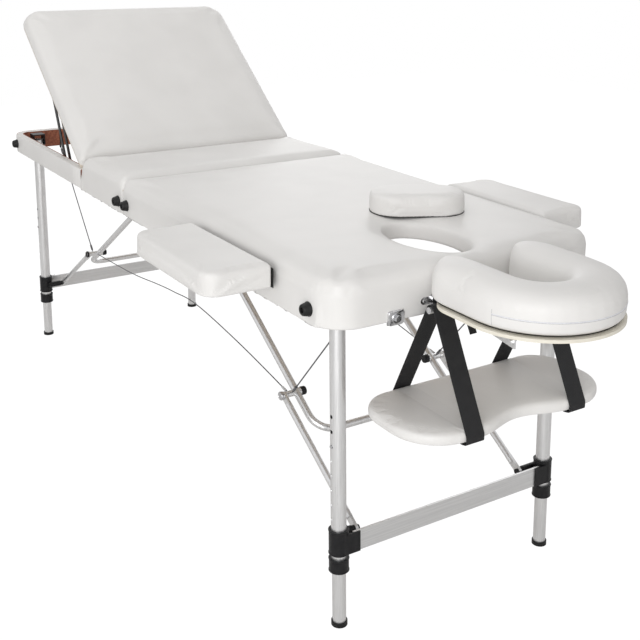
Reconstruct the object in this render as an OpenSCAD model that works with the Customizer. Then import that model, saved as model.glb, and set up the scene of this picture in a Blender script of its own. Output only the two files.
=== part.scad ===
// Portable folding massage table with raised backrest, headrest, armrests and arm sling.
// X runs from the foot end to the head end, Y across the table, Z up from the floor.
// The origin lies on the floor under the middle of the whole table's length.

/* [Table] */
// Length of each half, from the fold to its outer end
half_length = 938; // [800:5:1050]
// Width over the wooden side rails
frame_width = 650; // [560:5:760]
// Height of the rails' lower edge above the floor
rail_bottom = 632; // [560:1:700]
// Height of the wooden rails
rail_height = 54; // [45:1:70]
// Thickness of the wooden rails
rail_thickness = 20; // [15:0.5:24]
// Outer corner radius of the head end
head_corner = 66; // [50:1:90]
// Outer corner radius of the foot end
foot_corner = 58; // [40:1:80]
// Gap between the two halves at the fold
fold_gap = 1; // [0.5:0.1:3]
// Thickness of the plywood decks
deck_thickness = 5; // [3:0.5:8]

/* [Pads] */
// Thickness of the pads at their edges, above the deck
pad_thickness = 31.5; // [20:0.5:60]
// Extra height of a large pad at its middle
pad_crown = 4; // [1:0.5:12]
// How far the pads stand out past the rails
pad_overhang = 2.5; // [0:0.5:8]
// Radius of the pads' upper edges
pad_edge = 14; // [6:0.5:14.5]
// How far a pad's cover is drawn in at its lower edge
pad_draw = 3; // [1:0.5:6]
// Distance of the face hole's centre from the head end
hole_inset = 153; // [140:1:240]
// Half length of the face hole along the table
hole_half_length = 112; // [90:1:120]
// Half width of the face hole across the table
hole_half_width = 68; // [50:1:90]

/* [Backrest] */
// Distance of the backrest's hinge from the fold
backrest_hinge = 300; // [250:5:330]
// Length of the backrest panel
backrest_length = 602; // [560:1:610]
// Angle of the raised backrest above the table
backrest_angle = 38; // [20:1:50]
// Distance of the prop's rod from the hinge, along the panel
prop_reach = 385; // [360:1:400]
// Distance of the prop's lower pivot from the fold
prop_pivot_x = 490; // [470:1:500]
// Diameter of the prop's cross rod
prop_rod_d = 9; // [7:0.5:12]
// Thickness of a prop strip
strip_thickness = 3; // [2:0.5:4]
// Width of a prop strip
strip_width = 15; // [14:1:18]
// Distance between the middles of two prop strips
strip_spacing = 13; // [10:1:18]

/* [Legs] */
// Distance of a leg's hinge from the table's end
leg_inset = 69; // [55:1:80]
// Distance of a leg's middle from the inner face of its rail
leg_rail_gap = 40; // [30:1:65]
// Height of the leg hinges above the rails' lower edge
leg_hinge_rise = 23; // [18:1:26]
// Outward lean of the legs
leg_splay = 2; // [0:0.1:4]
// Outer diameter of the upper leg tubes
outer_leg_d = 30; // [24:1:32]
// Wall of the upper leg tubes
leg_wall = 1.45; // [1:0.05:1.8]
// Running clearance on radius between the telescopic tubes
leg_fit = 0.05; // [0.02:0.01:0.09]
// Height of the upper tube's lower end above the floor
outer_leg_end = 116; // [90:1:130]
// Height of the snap button above the floor, at the present setting
button_height = 379; // [340:1:410]
// Distance between two height holes
hole_pitch = 30; // [25:1:40]
// Diameter of the height holes
hole_d = 8; // [6:0.5:10]
// Diameter of the snap buttons
button_d = 6.5; // [5:0.5:8]
// How far a snap button stands out of the inner tube
button_proud = 3.4; // [3:0.2:5]
// Height of the foot caps
foot_cap_height = 9; // [6:1:20]
// Outer diameter of the foot caps
foot_cap_d = 32; // [28:1:38]
// Outer diameter of the clamps and collars
clamp_d = 39; // [36:1:44]
// Height of the clamp's lower edge above the floor
clamp_bottom = 155; // [146:1:170]
// Height of the clamp
clamp_height = 51; // [50:1:80]
// Height of the collar under the clamp
collar_height = 28; // [15:1:34]
// Height of the flat crossbar
crossbar_height = 42; // [25:1:50]
// Thickness of the flat crossbar
crossbar_thickness = 5; // [3:0.5:8]
// Distance of the crossbar's middle from the legs' middle, outward
crossbar_offset = 13; // [10:0.5:16]

/* [Braces] */
// Distance of a brace's hinge from the fold
brace_hinge_x = 115; // [100:1:140]
// Distance of the pivot between brace and links from the fold
brace_pivot_x = 590; // [560:1:620]
// Height of the pivot between brace and links
brace_pivot_height = 352; // [330:1:380]
// Distance of the links' lower pivot from the legs' middle, inward
link_pivot_offset = 19.6; // [16:0.2:26]
// Height of the links' lower pivot above the floor
link_pivot_height = 180; // [170:1:195]
// Diameter of the brace tube
brace_d = 16; // [12:1:20]
// How far the brace tube runs past its pivot before it bends across
brace_tail = 60; // [40:1:80]
// Radius of the brace tube's bends
brace_bend = 45; // [35:1:60]
// Distance of the brace tube's sides from the legs' middle, across the table
brace_leg_gap = 83; // [80:1:100]
// Diameter of the link tubes
link_d = 14; // [10:1:14]
// Distance of the links from the legs' middle, across the table
link_leg_gap = 51.5; // [49:0.5:53]
// Diameter of the steel cables
cable_d = 3; // [2:0.5:3]

/* [Headrest] */
// Distance of the headrest's tilt bar from the table's end
tilt_bar_reach = 47; // [45:1:70]
// Height of the headrest rods above the rails' lower edge
headrest_rod_rise = 24; // [20:1:28]
// Distance of the headrest rods from the table's middle plane
headrest_rod_lane = 98; // [80:1:110]
// Diameter of the headrest rods
headrest_rod_d = 12; // [8:1:14]
// Distance of the headrest cushion's inner end from the table's end
cushion_start = 19; // [14:1:40]
// Length of the headrest cushion
cushion_length = 293; // [260:1:320]
// Width of the headrest cushion
cushion_width = 290; // [260:1:310]
// Width of one arm of the headrest cushion
cushion_arm = 100; // [80:1:104]
// Height of the headrest cushion
cushion_height = 74; // [50:1:90]
// Thickness of the headrest board
board_thickness = 6; // [4:0.5:10]

/* [Sling] */
// Width of the webbing
webbing_width = 40; // [30:1:50]
// Thickness of the webbing
webbing_thickness = 2; // [1.5:0.1:3]
// Distance of the webbing loops' middles from the table's middle plane
sling_lane = 124; // [122:1:135]
// Length of the arm shelf across the table
shelf_length = 474; // [420:2:480]
// Depth of the arm shelf
shelf_depth = 216; // [180:2:230]
// Thickness of the arm shelf at its middle
shelf_thickness = 27; // [18:1:36]
// Height of the arm shelf's underside above the floor
shelf_bottom = 443; // [400:1:480]

/* [Armrests] */
// Distance of an armrest's outer end from the head end
armrest_inset = 170; // [150:1:190]
// Length of an armrest
armrest_length = 346; // [300:1:380]
// Width of an armrest
armrest_width = 142; // [110:1:170]
// Thickness of an armrest
armrest_thickness = 50; // [35:1:60]
// Height of an armrest's top above the floor
armrest_top = 716; // [700:1:725]
// Gap between an armrest and the side of the table
armrest_gap = 9; // [4:1:20]

/* [Plug cushion] */
// Length of the face hole's plug cushion
plug_length = 208; // [180:1:220]
// Width of the plug cushion
plug_width = 128; // [110:1:132]
// Height of the plug cushion
plug_height = 48; // [35:1:60]
// Distance of the lying plug cushion from the head end
plug_inset = 310; // [303:1:340]
// Distance of the lying plug cushion from the table's middle plane
plug_y = 96; // [80:1:110]
// Turn of the lying plug cushion about the vertical
plug_turn = 62; // [50:1:80]

/* [Hidden] */
$fn = 40;

white_vinyl = "#f1f0ee";
bare_wood = "#8a4a35";
pale_ply = "#e6d9c3";
silver = "#c9ccce";
bright = "#b4b7ba";
black_part = "#1e1e20";
black_webbing = "#151516";

// One overrun serves all cuts
cut = 1;
// Gap that keeps soft and curved faces clear of their neighbours
seat_gap = 0.3;
// Radial clearance of bolts, pins and rods in their bores
pin_fit = 0.05;

// Heights of the frame
rail_top = rail_bottom + rail_height;
deck_top = rail_top + deck_thickness;
pad_top = deck_top + pad_thickness;
rail_face = frame_width / 2;
rail_inner = rail_face - rail_thickness;
fold_face = fold_gap / 2;
hole_x = half_length - hole_inset;
plug_x = half_length - plug_inset;

// Lanes across the table, each seated on the next one outward
leg_lane = rail_inner - leg_rail_gap;
link_lane = leg_lane - link_leg_gap;
brace_lane = leg_lane - brace_leg_gap;

// The headrest board stands this far out past its cushion
board_margin = 4;
headrest_tip = half_length + cushion_start + cushion_length + board_margin;
origin_x = (headrest_tip - half_length) / 2;

// Leg hinge and the leg's own length, measured along the leaning tube
leg_x = half_length - leg_inset;
leg_z = rail_bottom + leg_hinge_rise;
leg_reach = leg_z / cos(leg_splay);
leg_bolt_d = 8;
tube_bore_d = outer_leg_d - 2 * leg_wall;
inner_leg_d = tube_bore_d - 2 * leg_fit;
inner_leg_wall = 1.2;
button_cover = 12;
inner_leg_top = button_height + button_cover;
holes_above = 2;
holes_below = 5;
collar_gap = 9;

// Plane linkage points of one half, as [x, z]
brace_hinge = [brace_hinge_x, leg_z];
brace_pivot = [brace_pivot_x, brace_pivot_height];
link_pivot = [
    leg_x + (leg_z - link_pivot_height) * tan(leg_splay) - link_pivot_offset,
    link_pivot_height];
brace_length = norm(brace_pivot - brace_hinge);
link_length = norm(link_pivot - brace_pivot);
brace_bolt_d = 6;
spacer_d = 14;
knob_d = 18;
knob_length = 12;
link_plate = 6;
link_plate_w = 16;
lug_step = 7;
lug_face = link_lane + link_plate / 2 + lug_step;
lug_d = 17;

// Cables: eye on the frame, lanes that let the two halves pass, low point under the fold
eye_inset = 93;
eye_rise = 13;
eye_x = half_length - eye_inset;
eye_z = rail_bottom + eye_rise;
eye_ring = 5;
eye_wire = 1.5;
cable_leg_gap = 64;
cable_lane_step = 7;
outer_cable_lane = leg_lane - cable_leg_gap;
inner_cable_lane = outer_cable_lane - cable_lane_step;
cable_low_point = [0, 404];
head_cable_bend = [140, 415];
sleeve_d = 6;
sleeve_length = 16;

// Backrest hinge line and prop, as [x, z] in the raised state
backrest_gap = 3;
backrest_axis = [-backrest_hinge, rail_top + deck_thickness / 2];
backrest_under = rail_top + seat_gap;
wear_strip = 4;
eye_margin = 0.5;
strip_eye_d = strip_width + 2 * eye_margin;
prop_depth = backrest_axis[1] - rail_top + wear_strip + prop_rod_d / 2 + seat_gap;
panel_along = [-cos(backrest_angle), sin(backrest_angle)];
panel_down = [-sin(backrest_angle), -cos(backrest_angle)];
prop_rod_at = backrest_axis + prop_reach * panel_along + prop_depth * panel_down;
prop_pivot = [-prop_pivot_x, leg_z];
strip_clearance = 5;
strip_outer_lane = rail_inner - strip_clearance;
strip_inner_lane = strip_outer_lane - strip_spacing;
prop_bolt_d = 8;

// Headrest rods, tilt bar and board
headrest_z = rail_bottom + headrest_rod_rise;
tilt_bar_x = half_length + tilt_bar_reach;
tilt_arm_gap = 8;
tilt_arm_lane = headrest_rod_lane - headrest_rod_d / 2 - tilt_arm_gap;
tilt_arm_spread = 36;
tilt_arm_length = 195;
tilt_arm_depth = 20;
tilt_arm_thickness = 3;
board_gap = 3;
board_bottom = headrest_z + headrest_rod_d / 2 + board_gap;
cushion_bottom = board_bottom + board_thickness;
cushion_ring = (cushion_width - cushion_arm) / 2;
cushion_x = half_length + cushion_start;
cushion_arc_x = cushion_x + cushion_length - cushion_width / 2;

// Sling loop corners below the tilt bar
shelf_set_back = 104;
shelf_back = tilt_bar_x - shelf_set_back;
shelf_front = shelf_back + shelf_depth;
sling_corner = 3;

// Armrest pins
armrest_pin_d = 10;
armrest_pin_drop = 10;
armrest_pin_z = rail_top - armrest_pin_drop;
armrest_pin_spacing = 220;
armrest_start = half_length - armrest_inset - armrest_length;
armrest_mid = armrest_start + armrest_length / 2;
armrest_inner = rail_face + pad_overhang + armrest_gap;

// Armrest sockets and headrest sockets
socket_wall = 2.5;
socket_bore = headrest_rod_d + 2 * pin_fit;
socket_d = socket_bore + 2 * socket_wall;
socket_length = 90;
pin_socket_wall = 1.5;
pin_socket_bore = armrest_pin_d + 2 * pin_fit;
pin_socket_d = pin_socket_bore + 2 * pin_socket_wall;

// Face hole, pad ends and backrest hinge
deck_hole_margin = 3;
pad_fold_corner = 15;
pad_lean_spare = 0.8;
pad_lean = backrest_angle / 2 + pad_lean_spare;
hinge_leaf = 26;
leaf_thickness = 1.8;
rear_barrel_r = 2.3;
rear_pin_d = 2.4;
rear_hinge_inset = 35;
rear_hinge_end = rail_inner - rear_hinge_inset;
knuckle = 60;
hinge_spare = 0.6;
deck_hinge_gap = rear_barrel_r + seat_gap + hinge_spare;
batten_width = 48;
batten_height = 13;
wear_strip_inset = 90;
wear_strip_lane = rail_inner - wear_strip_inset;
wear_strip_width = 60;
wear_strip_reach = 32;

// Fold hinges
fold_barrel_r = 2.7;
fold_axis_z = rail_bottom - fold_barrel_r - seat_gap;
fold_pin_d = 3;
fold_hinge_inset = 15;
fold_hinge_span = 120;
fold_hinge_far = rail_inner - fold_hinge_inset;
fold_hinge_near = fold_hinge_far - fold_hinge_span;
fold_knuckle = 38;

// Buffers on the near rail
bumper_rise = 26;
bumper_z = rail_bottom + bumper_rise;
bumper_d = 26;
bumper_tip_d = 20;
bumper_length = 15;
bumper_inset = 27;

bracket_plate = 3;
bolt_head = 4;

// Headrest fittings
flange_d = 28;
flange_end_d = 14;
flange_screw = 26;
flange_thickness = 3;
flange_collar = 9;
screw_head = 3;
bolt_plate_inset = 138;
bolt_plate_lane = rail_face - bolt_plate_inset;
bolt_plate_rise = 5;
bolt_plate_z = rail_bottom + bolt_plate_rise;
bolt_plate_h = 26;
bolt_plate_w = 34;
tilt_bar_spare = 4;
tilt_bar_end = sling_lane + webbing_width / 2 + tilt_bar_spare;
tilt_boss_d = 17.4;
tilt_boss_w = 9;
board_corner = 62;
board_set_back = 12;
lever_lane = 66;
lever_w = 12;
lever_length = 58;
lever_thickness = 6;
lever_angle = 30;

// Carry handles and draw latches on the far rail
handle_inset = 488;
handle_x = half_length - handle_inset;
handle_width = 130;
handle_rise = 18;
handle_z = rail_bottom + handle_rise;
handle_out = 9;
handle_drop = 62;
handle_rod_d = 7;
handle_grip_d = 15;
ear_w = 12;
latch_from_fold = 180;
latch_from_end = 108;
latch_places = [latch_from_fold, half_length - latch_from_end];
latch_w = 26;
latch_rise = 20;
latch_z = rail_bottom + latch_rise;
latch_post_h = 16;
latch_base = 2;
latch_ear = 2;
latch_out = 8;
latch_pin_d = 4;
latch_lever_length = 30;

// Arm shelf, armrest and plug details
shelf_crown = 5;
shelf_edge = 12;
shelf_rear_corner = 70;
shelf_front_corner = 95;
shelf_hollow = 24;
armrest_crown = 3;
armrest_edge = 15;
armrest_corner = 27;
armrest_strip_end = 15;
armrest_strip = armrest_pin_spacing + 2 * armrest_strip_end;
armrest_strip_h = 30;
pin_tail = 20;
plug_crown = 3;
plug_edge = 13;
plug_corner = plug_width / 2 - cut;

// Leg details
leg_top = 13;
foot_cap_floor = 4;
button_play = 2;
button_seat = inner_leg_d / 2 - inner_leg_wall - button_play;
button_flange = 1.5;
button_flange_d = 10;
crossbar_rise = 1;
crossbar_gap = 5;
crossbar_bottom = clamp_bottom + crossbar_rise;
crossbar_end = leg_lane - clamp_d / 2 - crossbar_gap;
ear_thickness = 3.5;
ear_length = 18;

// Brace and link details
brace_top = 10;
link_flat = 24;
link_cap = 6.5;

// Points on a quarter turn, about a centre, from a start angle
function quarter(cx, cy, r, start, steps) =
    [for (i = [0:steps]) [cx + r * cos(start + 90 * i / steps), cy + r * sin(start + 90 * i / steps)]];

// Points strictly between two points
function between(a, b, steps) = [for (i = [1:steps - 1]) a + (b - a) * i / steps];

// Rounded slab outline from x0 to x1 and half width w, drawn in by d, counted from the x1 side
function slab_outline(x0, x1, w, r0, r1, d, arc, side) =
    let (
        a = max(r1 - d, cut), b = max(r0 - d, cut),
        right = x1 - d - a, left = x0 + d + b, up = w - d,
        q1 = quarter(right, up - a, a, 0, arc),
        q2 = quarter(left, up - b, b, 90, arc),
        q3 = quarter(left, b - up, b, 180, arc),
        q4 = quarter(right, a - up, a, 270, arc)
    )
    concat(
        q1, between(q1[arc], q2[0], side),
        q2, between(q2[arc], q3[0], side),
        q3, between(q3[arc], q4[0], side),
        q4, between(q4[arc], q1[0], side)
    );

// A slab's wall as [inset, height]: drawn-in foot, upright middle, round upper edge
function wall_profile(h, edge, draw) = concat(
    [[draw, 0], [draw / 3, draw], [0, 2.5 * draw]],
    [for (i = [0:4]) [edge - edge * cos(22.5 * i), h - edge + edge * sin(22.5 * i)]]
);

// Triangles that join a stack of rings of n points, with a point at each end
function stack_faces(rings, n) = concat(
    [for (j = [0:rings - 2], i = [0:n - 1])
        [j * n + i, (j + 1) * n + i, (j + 1) * n + (i + 1) % n]],
    [for (j = [0:rings - 2], i = [0:n - 1])
        [j * n + i, (j + 1) * n + (i + 1) % n, j * n + (i + 1) % n]],
    [for (i = [0:n - 1]) [rings * n, i, (i + 1) % n]],
    [for (i = [0:n - 1]) [rings * n + 1, (rings - 1) * n + (i + 1) % n, (rings - 1) * n + i]]
);

// Triangles of rings that close on themselves, like a tyre
function tyre_faces(rings, n) = concat(
    [for (j = [0:rings - 1], i = [0:n - 1])
        [j * n + i, ((j + 1) % rings) * n + i, ((j + 1) % rings) * n + (i + 1) % n]],
    [for (j = [0:rings - 1], i = [0:n - 1])
        [j * n + i, ((j + 1) % rings) * n + (i + 1) % n, j * n + (i + 1) % n]]
);

// Rings from a list of rings of points
function flat_list(rings) = [for (ring = rings) each ring];

// Leans the ends of a slab inward with height: shift of a point at x and height z
function lean_x(x, z, x0, x1, lean0, lean1) =
    let (share = (x - x0) / (x1 - x0))
    x + z * tan(lean0) * (1 - share) - z * tan(lean1) * share;

// Shares of the top ring kept, and of the crown reached, by the rings of a crowned top
crown_shares = [[0.9, 0.5], [0.72, 0.88], [0.4, 0.98]];
// Shares of the way to the face hole, and of the crown reached there
hole_crown_shares = [[0.14, 0.5], [0.4, 0.95], [0.68, 0.9], [0.9, 0.45]];
hole_edge = 12;

// A crowned cushion between x0 and x1, standing on z = 0
module cushion(x0, x1, w, r0, r1, h, edge, draw, crown, lean0 = 0, lean1 = 0, arc = 5, side = 4) {
    mid = (x0 + x1) / 2;
    rim = slab_outline(x0, x1, w, r0, r1, edge, arc, side);
    wall_rings = [for (s = wall_profile(h, edge, draw))
        [for (p = slab_outline(x0, x1, w, r0, r1, s[0], arc, side))
            [lean_x(p[0], s[1], x0, x1, lean0, lean1), p[1], s[1]]]];
    top_rings = [for (k = crown_shares)
        [for (p = rim)
            [mid + (lean_x(p[0], h, x0, x1, lean0, lean1) - mid) * k[0], p[1] * k[0], h + crown * k[1]]]];
    rings = concat(wall_rings, top_rings);
    ends = [[mid, 0, 0], [mid, 0, h + crown]];
    polyhedron(concat(flat_list(rings), ends), stack_faces(len(rings), len(rim)));
}

// Point k of n on the face hole's rim, grown by g, counted from the middle of the head end
function hole_point(k, n, start, g) =
    let (t = 360 * (k + start) / n)
    [hole_x + (hole_half_length + g) * cos(t), (hole_half_width + g) * sin(t)];

// The head half's cushion with the face hole through it
module holed_cushion(x0, x1, w, r0, r1, h, edge, draw, crown, arc = 5, side = 6) {
    rim = slab_outline(x0, x1, w, r0, r1, edge, arc, side);
    n = len(rim);
    start = side / 2;
    wall_rings = [for (s = wall_profile(h, edge, draw))
        [for (p = slab_outline(x0, x1, w, r0, r1, s[0], arc, side)) [p[0], p[1], s[1]]]];
    top_rings = [for (s = hole_crown_shares)
        [for (k = [0:n - 1])
            let (p = rim[k], q = hole_point(k, n, start, hole_edge))
            [p[0] + (q[0] - p[0]) * s[0], p[1] + (q[1] - p[1]) * s[0], h + crown * s[1]]]];
    hole_rings = [for (i = [0:3])
        [for (k = [0:n - 1])
            let (q = hole_point(k, n, start, hole_edge - hole_edge * sin(30 * i)))
            [q[0], q[1], h - hole_edge + hole_edge * cos(30 * i)]]];
    foot_ring = [[for (k = [0:n - 1]) let (q = hole_point(k, n, start, 0)) [q[0], q[1], 0]]];
    rings = concat(wall_rings, top_rings, hole_rings, foot_ring);
    polyhedron(flat_list(rings), tyre_faces(len(rings), n));
}

// Moves the drawing from the fold's middle line to the part's origin
module placed() {
    translate([-origin_x, 0, 0]) children();
}

// Draws its children on the head half, or mirrored on the foot half
module half(end) {
    placed() {
        if (end > 0) children();
        else mirror([1, 0, 0]) children();
    }
}

// Repeats its children on the near and far side
module both_sides() {
    for (s = [0, 1]) mirror([0, s, 0]) children();
}

// Rounded slab with true arcs at its corners, flat on the drawing plane
module slab_2d(x0, x1, w, r0, r1) {
    mid = (x0 + x1) / 2;
    translate([x0 + r0, -w]) square([x1 - r1 - x0 - r0, 2 * w]);
    translate([x0, r0 - w]) square([mid - x0, 2 * (w - r0)]);
    if (w > r1) translate([mid, r1 - w]) square([x1 - mid, 2 * (w - r1)]);
    for (s = [-1, 1]) {
        if (r0 > 0) translate([x0 + r0, s * (w - r0)]) circle(r0, $fn = 64);
        if (r1 > 0) translate([x1 - r1, s * (w - r1)]) circle(r1, $fn = 64);
    }
}

// Cylinder along Y between two distances from the middle plane
module cross_pin(x, z, d, y0, y1) {
    translate([x, y0, z]) rotate([-90, 0, 0]) cylinder(h = y1 - y0, d = d);
}

// Puts its children's Z axis on the line from one [x, z] point to another
module aim(from, to, y) {
    translate([from[0], y, from[1]])
        rotate([0, atan2(to[0] - from[0], to[1] - from[1]), 0]) children();
}

// Channel bracket that hangs from the deck and holds a tube's end on a bolt
module hanging_bracket(x, z, y, tube_d, bolt, plate) {
    cheek_in = y - tube_d / 2 - seat_gap - plate;
    cheek_out = y + tube_d / 2 + seat_gap;
    reach = tube_d / 2 + plate;
    for (c = [cheek_in, cheek_out]) {
        translate([x - reach, c, z]) cube([2 * reach, plate, rail_top - z]);
        cross_pin(x, z, 2 * bolt, c, c + plate);
    }
    translate([x - reach, cheek_in, rail_top - plate])
        cube([2 * reach, cheek_out + plate - cheek_in, plate]);
    cross_pin(x, z, bolt, cheek_in - plate, cheek_out + plate);
    cross_pin(x, z, 1.7 * bolt, cheek_in - 1.2 * plate, cheek_in);
    cross_pin(x, z, 1.7 * bolt, cheek_out + plate, cheek_out + 2.2 * plate);
}

// Screw eye under the deck that a short cable starts from
module cable_eye(y) {
    translate([eye_x, y, eye_z + eye_ring]) cylinder(h = rail_top - eye_z - eye_ring, r = eye_wire);
    translate([eye_x, y, eye_z]) rotate([90, 0, 0])
        rotate_extrude() translate([eye_ring, 0]) circle(eye_wire, $fn = 16);
}

// One side of a barrel hinge: a leaf and its knuckles, dir tells which side of the axis
module hinge_side(axis, dir, leaf_length, leaf_z0, leaf_z1, y0, y1, knuckles, r, pin_d, owns_pin) {
    air = r + seat_gap;
    near_x = dir > 0 ? axis[0] + air : axis[0] - leaf_length;
    translate([near_x, y0, leaf_z0]) cube([leaf_length - air, y1 - y0, leaf_z1 - leaf_z0]);
    difference() {
        for (k = knuckles) {
            cross_pin(axis[0], axis[1], 2 * r, k[0], k[1]);
            low = min(leaf_z0, axis[1]);
            high = max(leaf_z1, axis[1]);
            translate([dir > 0 ? axis[0] : axis[0] - air, k[0], low])
                cube([air, k[1] - k[0], high - low]);
        }
        if (!owns_pin) cross_pin(axis[0], axis[1], pin_d + 2 * pin_fit, y0 - cut, y1 + cut);
    }
    if (owns_pin) cross_pin(axis[0], axis[1], pin_d, y0, y1);
}

// Ring of wooden rails with rounded outer corners
module rail_ring(corner) {
    linear_extrude(rail_height) difference() {
        slab_2d(fold_face, half_length, rail_face, 0, corner);
        slab_2d(fold_face + rail_thickness, half_length - rail_thickness, rail_inner,
            0, corner - rail_thickness);
    }
}

module head_frame() {
    color(bare_wood) half(1) difference() {
        translate([0, 0, rail_bottom]) rail_ring(head_corner);
        both_sides() {
            translate([half_length - rail_thickness - cut, headrest_rod_lane, headrest_z])
                rotate([0, 90, 0]) cylinder(h = rail_thickness + 2 * cut, d = socket_d);
            for (x = [-1, 1])
                cross_pin(armrest_mid + x * armrest_pin_spacing / 2, armrest_pin_z, pin_socket_d,
                    rail_inner - cut, rail_face + cut);
        }
    }
}

module head_deck() {
    color(pale_ply) half(1) translate([0, 0, rail_top]) linear_extrude(deck_thickness) difference() {
        slab_2d(fold_face, half_length, rail_face, 0, head_corner);
        polygon([for (i = [0:71])
            [hole_x + (hole_half_length + deck_hole_margin) * cos(5 * i),
            (hole_half_width + deck_hole_margin) * sin(5 * i)]]);
    }
}

module head_pad() {
    color(white_vinyl) placed() translate([0, 0, deck_top])
        holed_cushion(fold_face, half_length + pad_overhang, rail_face + pad_overhang,
            pad_fold_corner, head_corner + pad_overhang, pad_thickness, pad_edge, pad_draw, pad_crown);
}

module foot_frame() {
    color(bare_wood) half(-1) {
        translate([0, 0, rail_bottom]) rail_ring(foot_corner);
        translate([backrest_hinge - hinge_leaf - batten_width, -rail_inner, rail_top - batten_height])
            cube([batten_width, 2 * rail_inner, batten_height]);
    }
}

module middle_deck() {
    color(pale_ply) half(-1) translate([fold_face, -rail_face, rail_top])
        cube([backrest_hinge - deck_hinge_gap - fold_face, frame_width, deck_thickness]);
}

module middle_pad() {
    color(white_vinyl) placed() translate([0, 0, deck_top])
        cushion(backrest_gap / 2 - backrest_hinge, -fold_face, rail_face + pad_overhang,
            pad_fold_corner, pad_fold_corner, pad_thickness, pad_edge, pad_draw, pad_crown,
            lean0 = pad_lean);
}

// Raises its children from the flat state about the backrest's hinge line
module raised() {
    translate([backrest_axis[0], 0, backrest_axis[1]]) rotate([0, backrest_angle, 0])
        translate([-backrest_axis[0], 0, -backrest_axis[1]]) children();
}

module backrest_deck() {
    color(pale_ply) placed() raised() translate([0, 0, backrest_under])
        linear_extrude(deck_top - backrest_under)
        slab_2d(-backrest_hinge - backrest_length, -backrest_hinge - deck_hinge_gap, rail_face,
            foot_corner, 0);
}

module backrest_pad() {
    color(white_vinyl) placed() raised() translate([0, 0, deck_top])
        cushion(-backrest_hinge - backrest_length, -backrest_hinge - backrest_gap / 2,
            rail_face + pad_overhang, foot_corner, pad_fold_corner, pad_thickness, pad_edge,
            pad_draw, pad_crown, lean1 = pad_lean);
}

// Turning side of the backrest's hinge, and the strips that its prop rod bears on
module backrest_hinge() {
    color(bright) placed() raised() {
        hinge_side(backrest_axis, -1, hinge_leaf, backrest_under - leaf_thickness, backrest_under,
            -rear_hinge_end, rear_hinge_end,
            [for (s = [-1, 1]) [s * rear_hinge_end / 2 - knuckle, s * rear_hinge_end / 2 + knuckle]],
            rear_barrel_r, rear_pin_d, false);
        both_sides() translate([backrest_axis[0] - prop_reach - wear_strip_reach, wear_strip_lane,
            rail_top - wear_strip])
            cube([2 * wear_strip_reach, wear_strip_width, wear_strip + backrest_under - rail_top]);
    }
}

// Two flat strips on each side, with the rod between them that the backrest rests on
module backrest_prop() {
    prop_length = norm(prop_rod_at - prop_pivot);
    color(black_part) placed() {
        both_sides() difference() {
            union() for (y = [strip_inner_lane, strip_outer_lane]) {
                aim(prop_pivot, prop_rod_at, y)
                    translate([-strip_width / 2, -strip_thickness / 2, 0])
                    cube([strip_width, strip_thickness, prop_length]);
                for (p = [prop_pivot, prop_rod_at])
                    cross_pin(p[0], p[1], strip_eye_d, y - strip_thickness / 2, y + strip_thickness / 2);
            }
            cross_pin(prop_pivot[0], prop_pivot[1], prop_bolt_d + 2 * pin_fit, strip_inner_lane - strip_width,
                rail_inner);
        }
        cross_pin(prop_rod_at[0], prop_rod_at[1], prop_rod_d,
            -strip_outer_lane - strip_thickness, strip_outer_lane + strip_thickness);
    }
}

// Rubber buffer on the near rail, which the folded table stands on
module bumper(x) {
    translate([x, -rail_face, bumper_z]) rotate([90, 0, 0])
        cylinder(h = bumper_length, d1 = bumper_d, d2 = bumper_tip_d);
}

module head_bumpers() {
    color(black_part) half(1) for (x = [bumper_inset, half_length - head_corner]) bumper(x);
}

module foot_bumpers() {
    color(black_part) half(-1) for (x = [bumper_inset, half_length - foot_corner]) bumper(x);
}

// Fold hinges on the undersides of the rails at the fold
module fold_hinge_head() {
    color(bright) placed() both_sides()
        hinge_side([0, fold_axis_z], 1, rail_thickness, rail_bottom - leaf_thickness, rail_bottom,
            fold_hinge_near, fold_hinge_far,
            [[fold_hinge_near, fold_hinge_near + fold_knuckle],
            [fold_hinge_far - fold_knuckle, fold_hinge_far]],
            fold_barrel_r, fold_pin_d, true);
}

module fold_hinge_foot() {
    color(bright) placed() both_sides()
        hinge_side([0, fold_axis_z], -1, rail_thickness, rail_bottom - leaf_thickness, rail_bottom,
            fold_hinge_near, fold_hinge_far,
            [[fold_hinge_near + fold_knuckle + seat_gap, fold_hinge_far - fold_knuckle - seat_gap]],
            fold_barrel_r, fold_pin_d, false);
}

module head_brackets() {
    color(black_part) half(1) both_sides() {
        hanging_bracket(leg_x, leg_z, leg_lane, outer_leg_d, leg_bolt_d, bracket_plate);
        hanging_bracket(brace_hinge_x, leg_z, brace_lane, brace_d, brace_bolt_d, bracket_plate);
        cable_eye(inner_cable_lane);
    }
}

module foot_brackets() {
    color(black_part) {
        half(-1) both_sides() {
            hanging_bracket(leg_x, leg_z, leg_lane, outer_leg_d, leg_bolt_d, bracket_plate);
            hanging_bracket(brace_hinge_x, leg_z, brace_lane, brace_d, brace_bolt_d, bracket_plate);
            cable_eye(outer_cable_lane);
            prop_bolt();
        }
        placed() hinge_side(backrest_axis, 1, hinge_leaf, rail_top - leaf_thickness, rail_top,
            -rear_hinge_end, rear_hinge_end,
            [[-rear_hinge_end, -rear_hinge_end / 2 - knuckle - seat_gap],
            [knuckle + seat_gap - rear_hinge_end / 2, rear_hinge_end / 2 - knuckle - seat_gap],
            [rear_hinge_end / 2 + knuckle + seat_gap, rear_hinge_end]],
            rear_barrel_r, rear_pin_d, true);
    }
}

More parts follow.
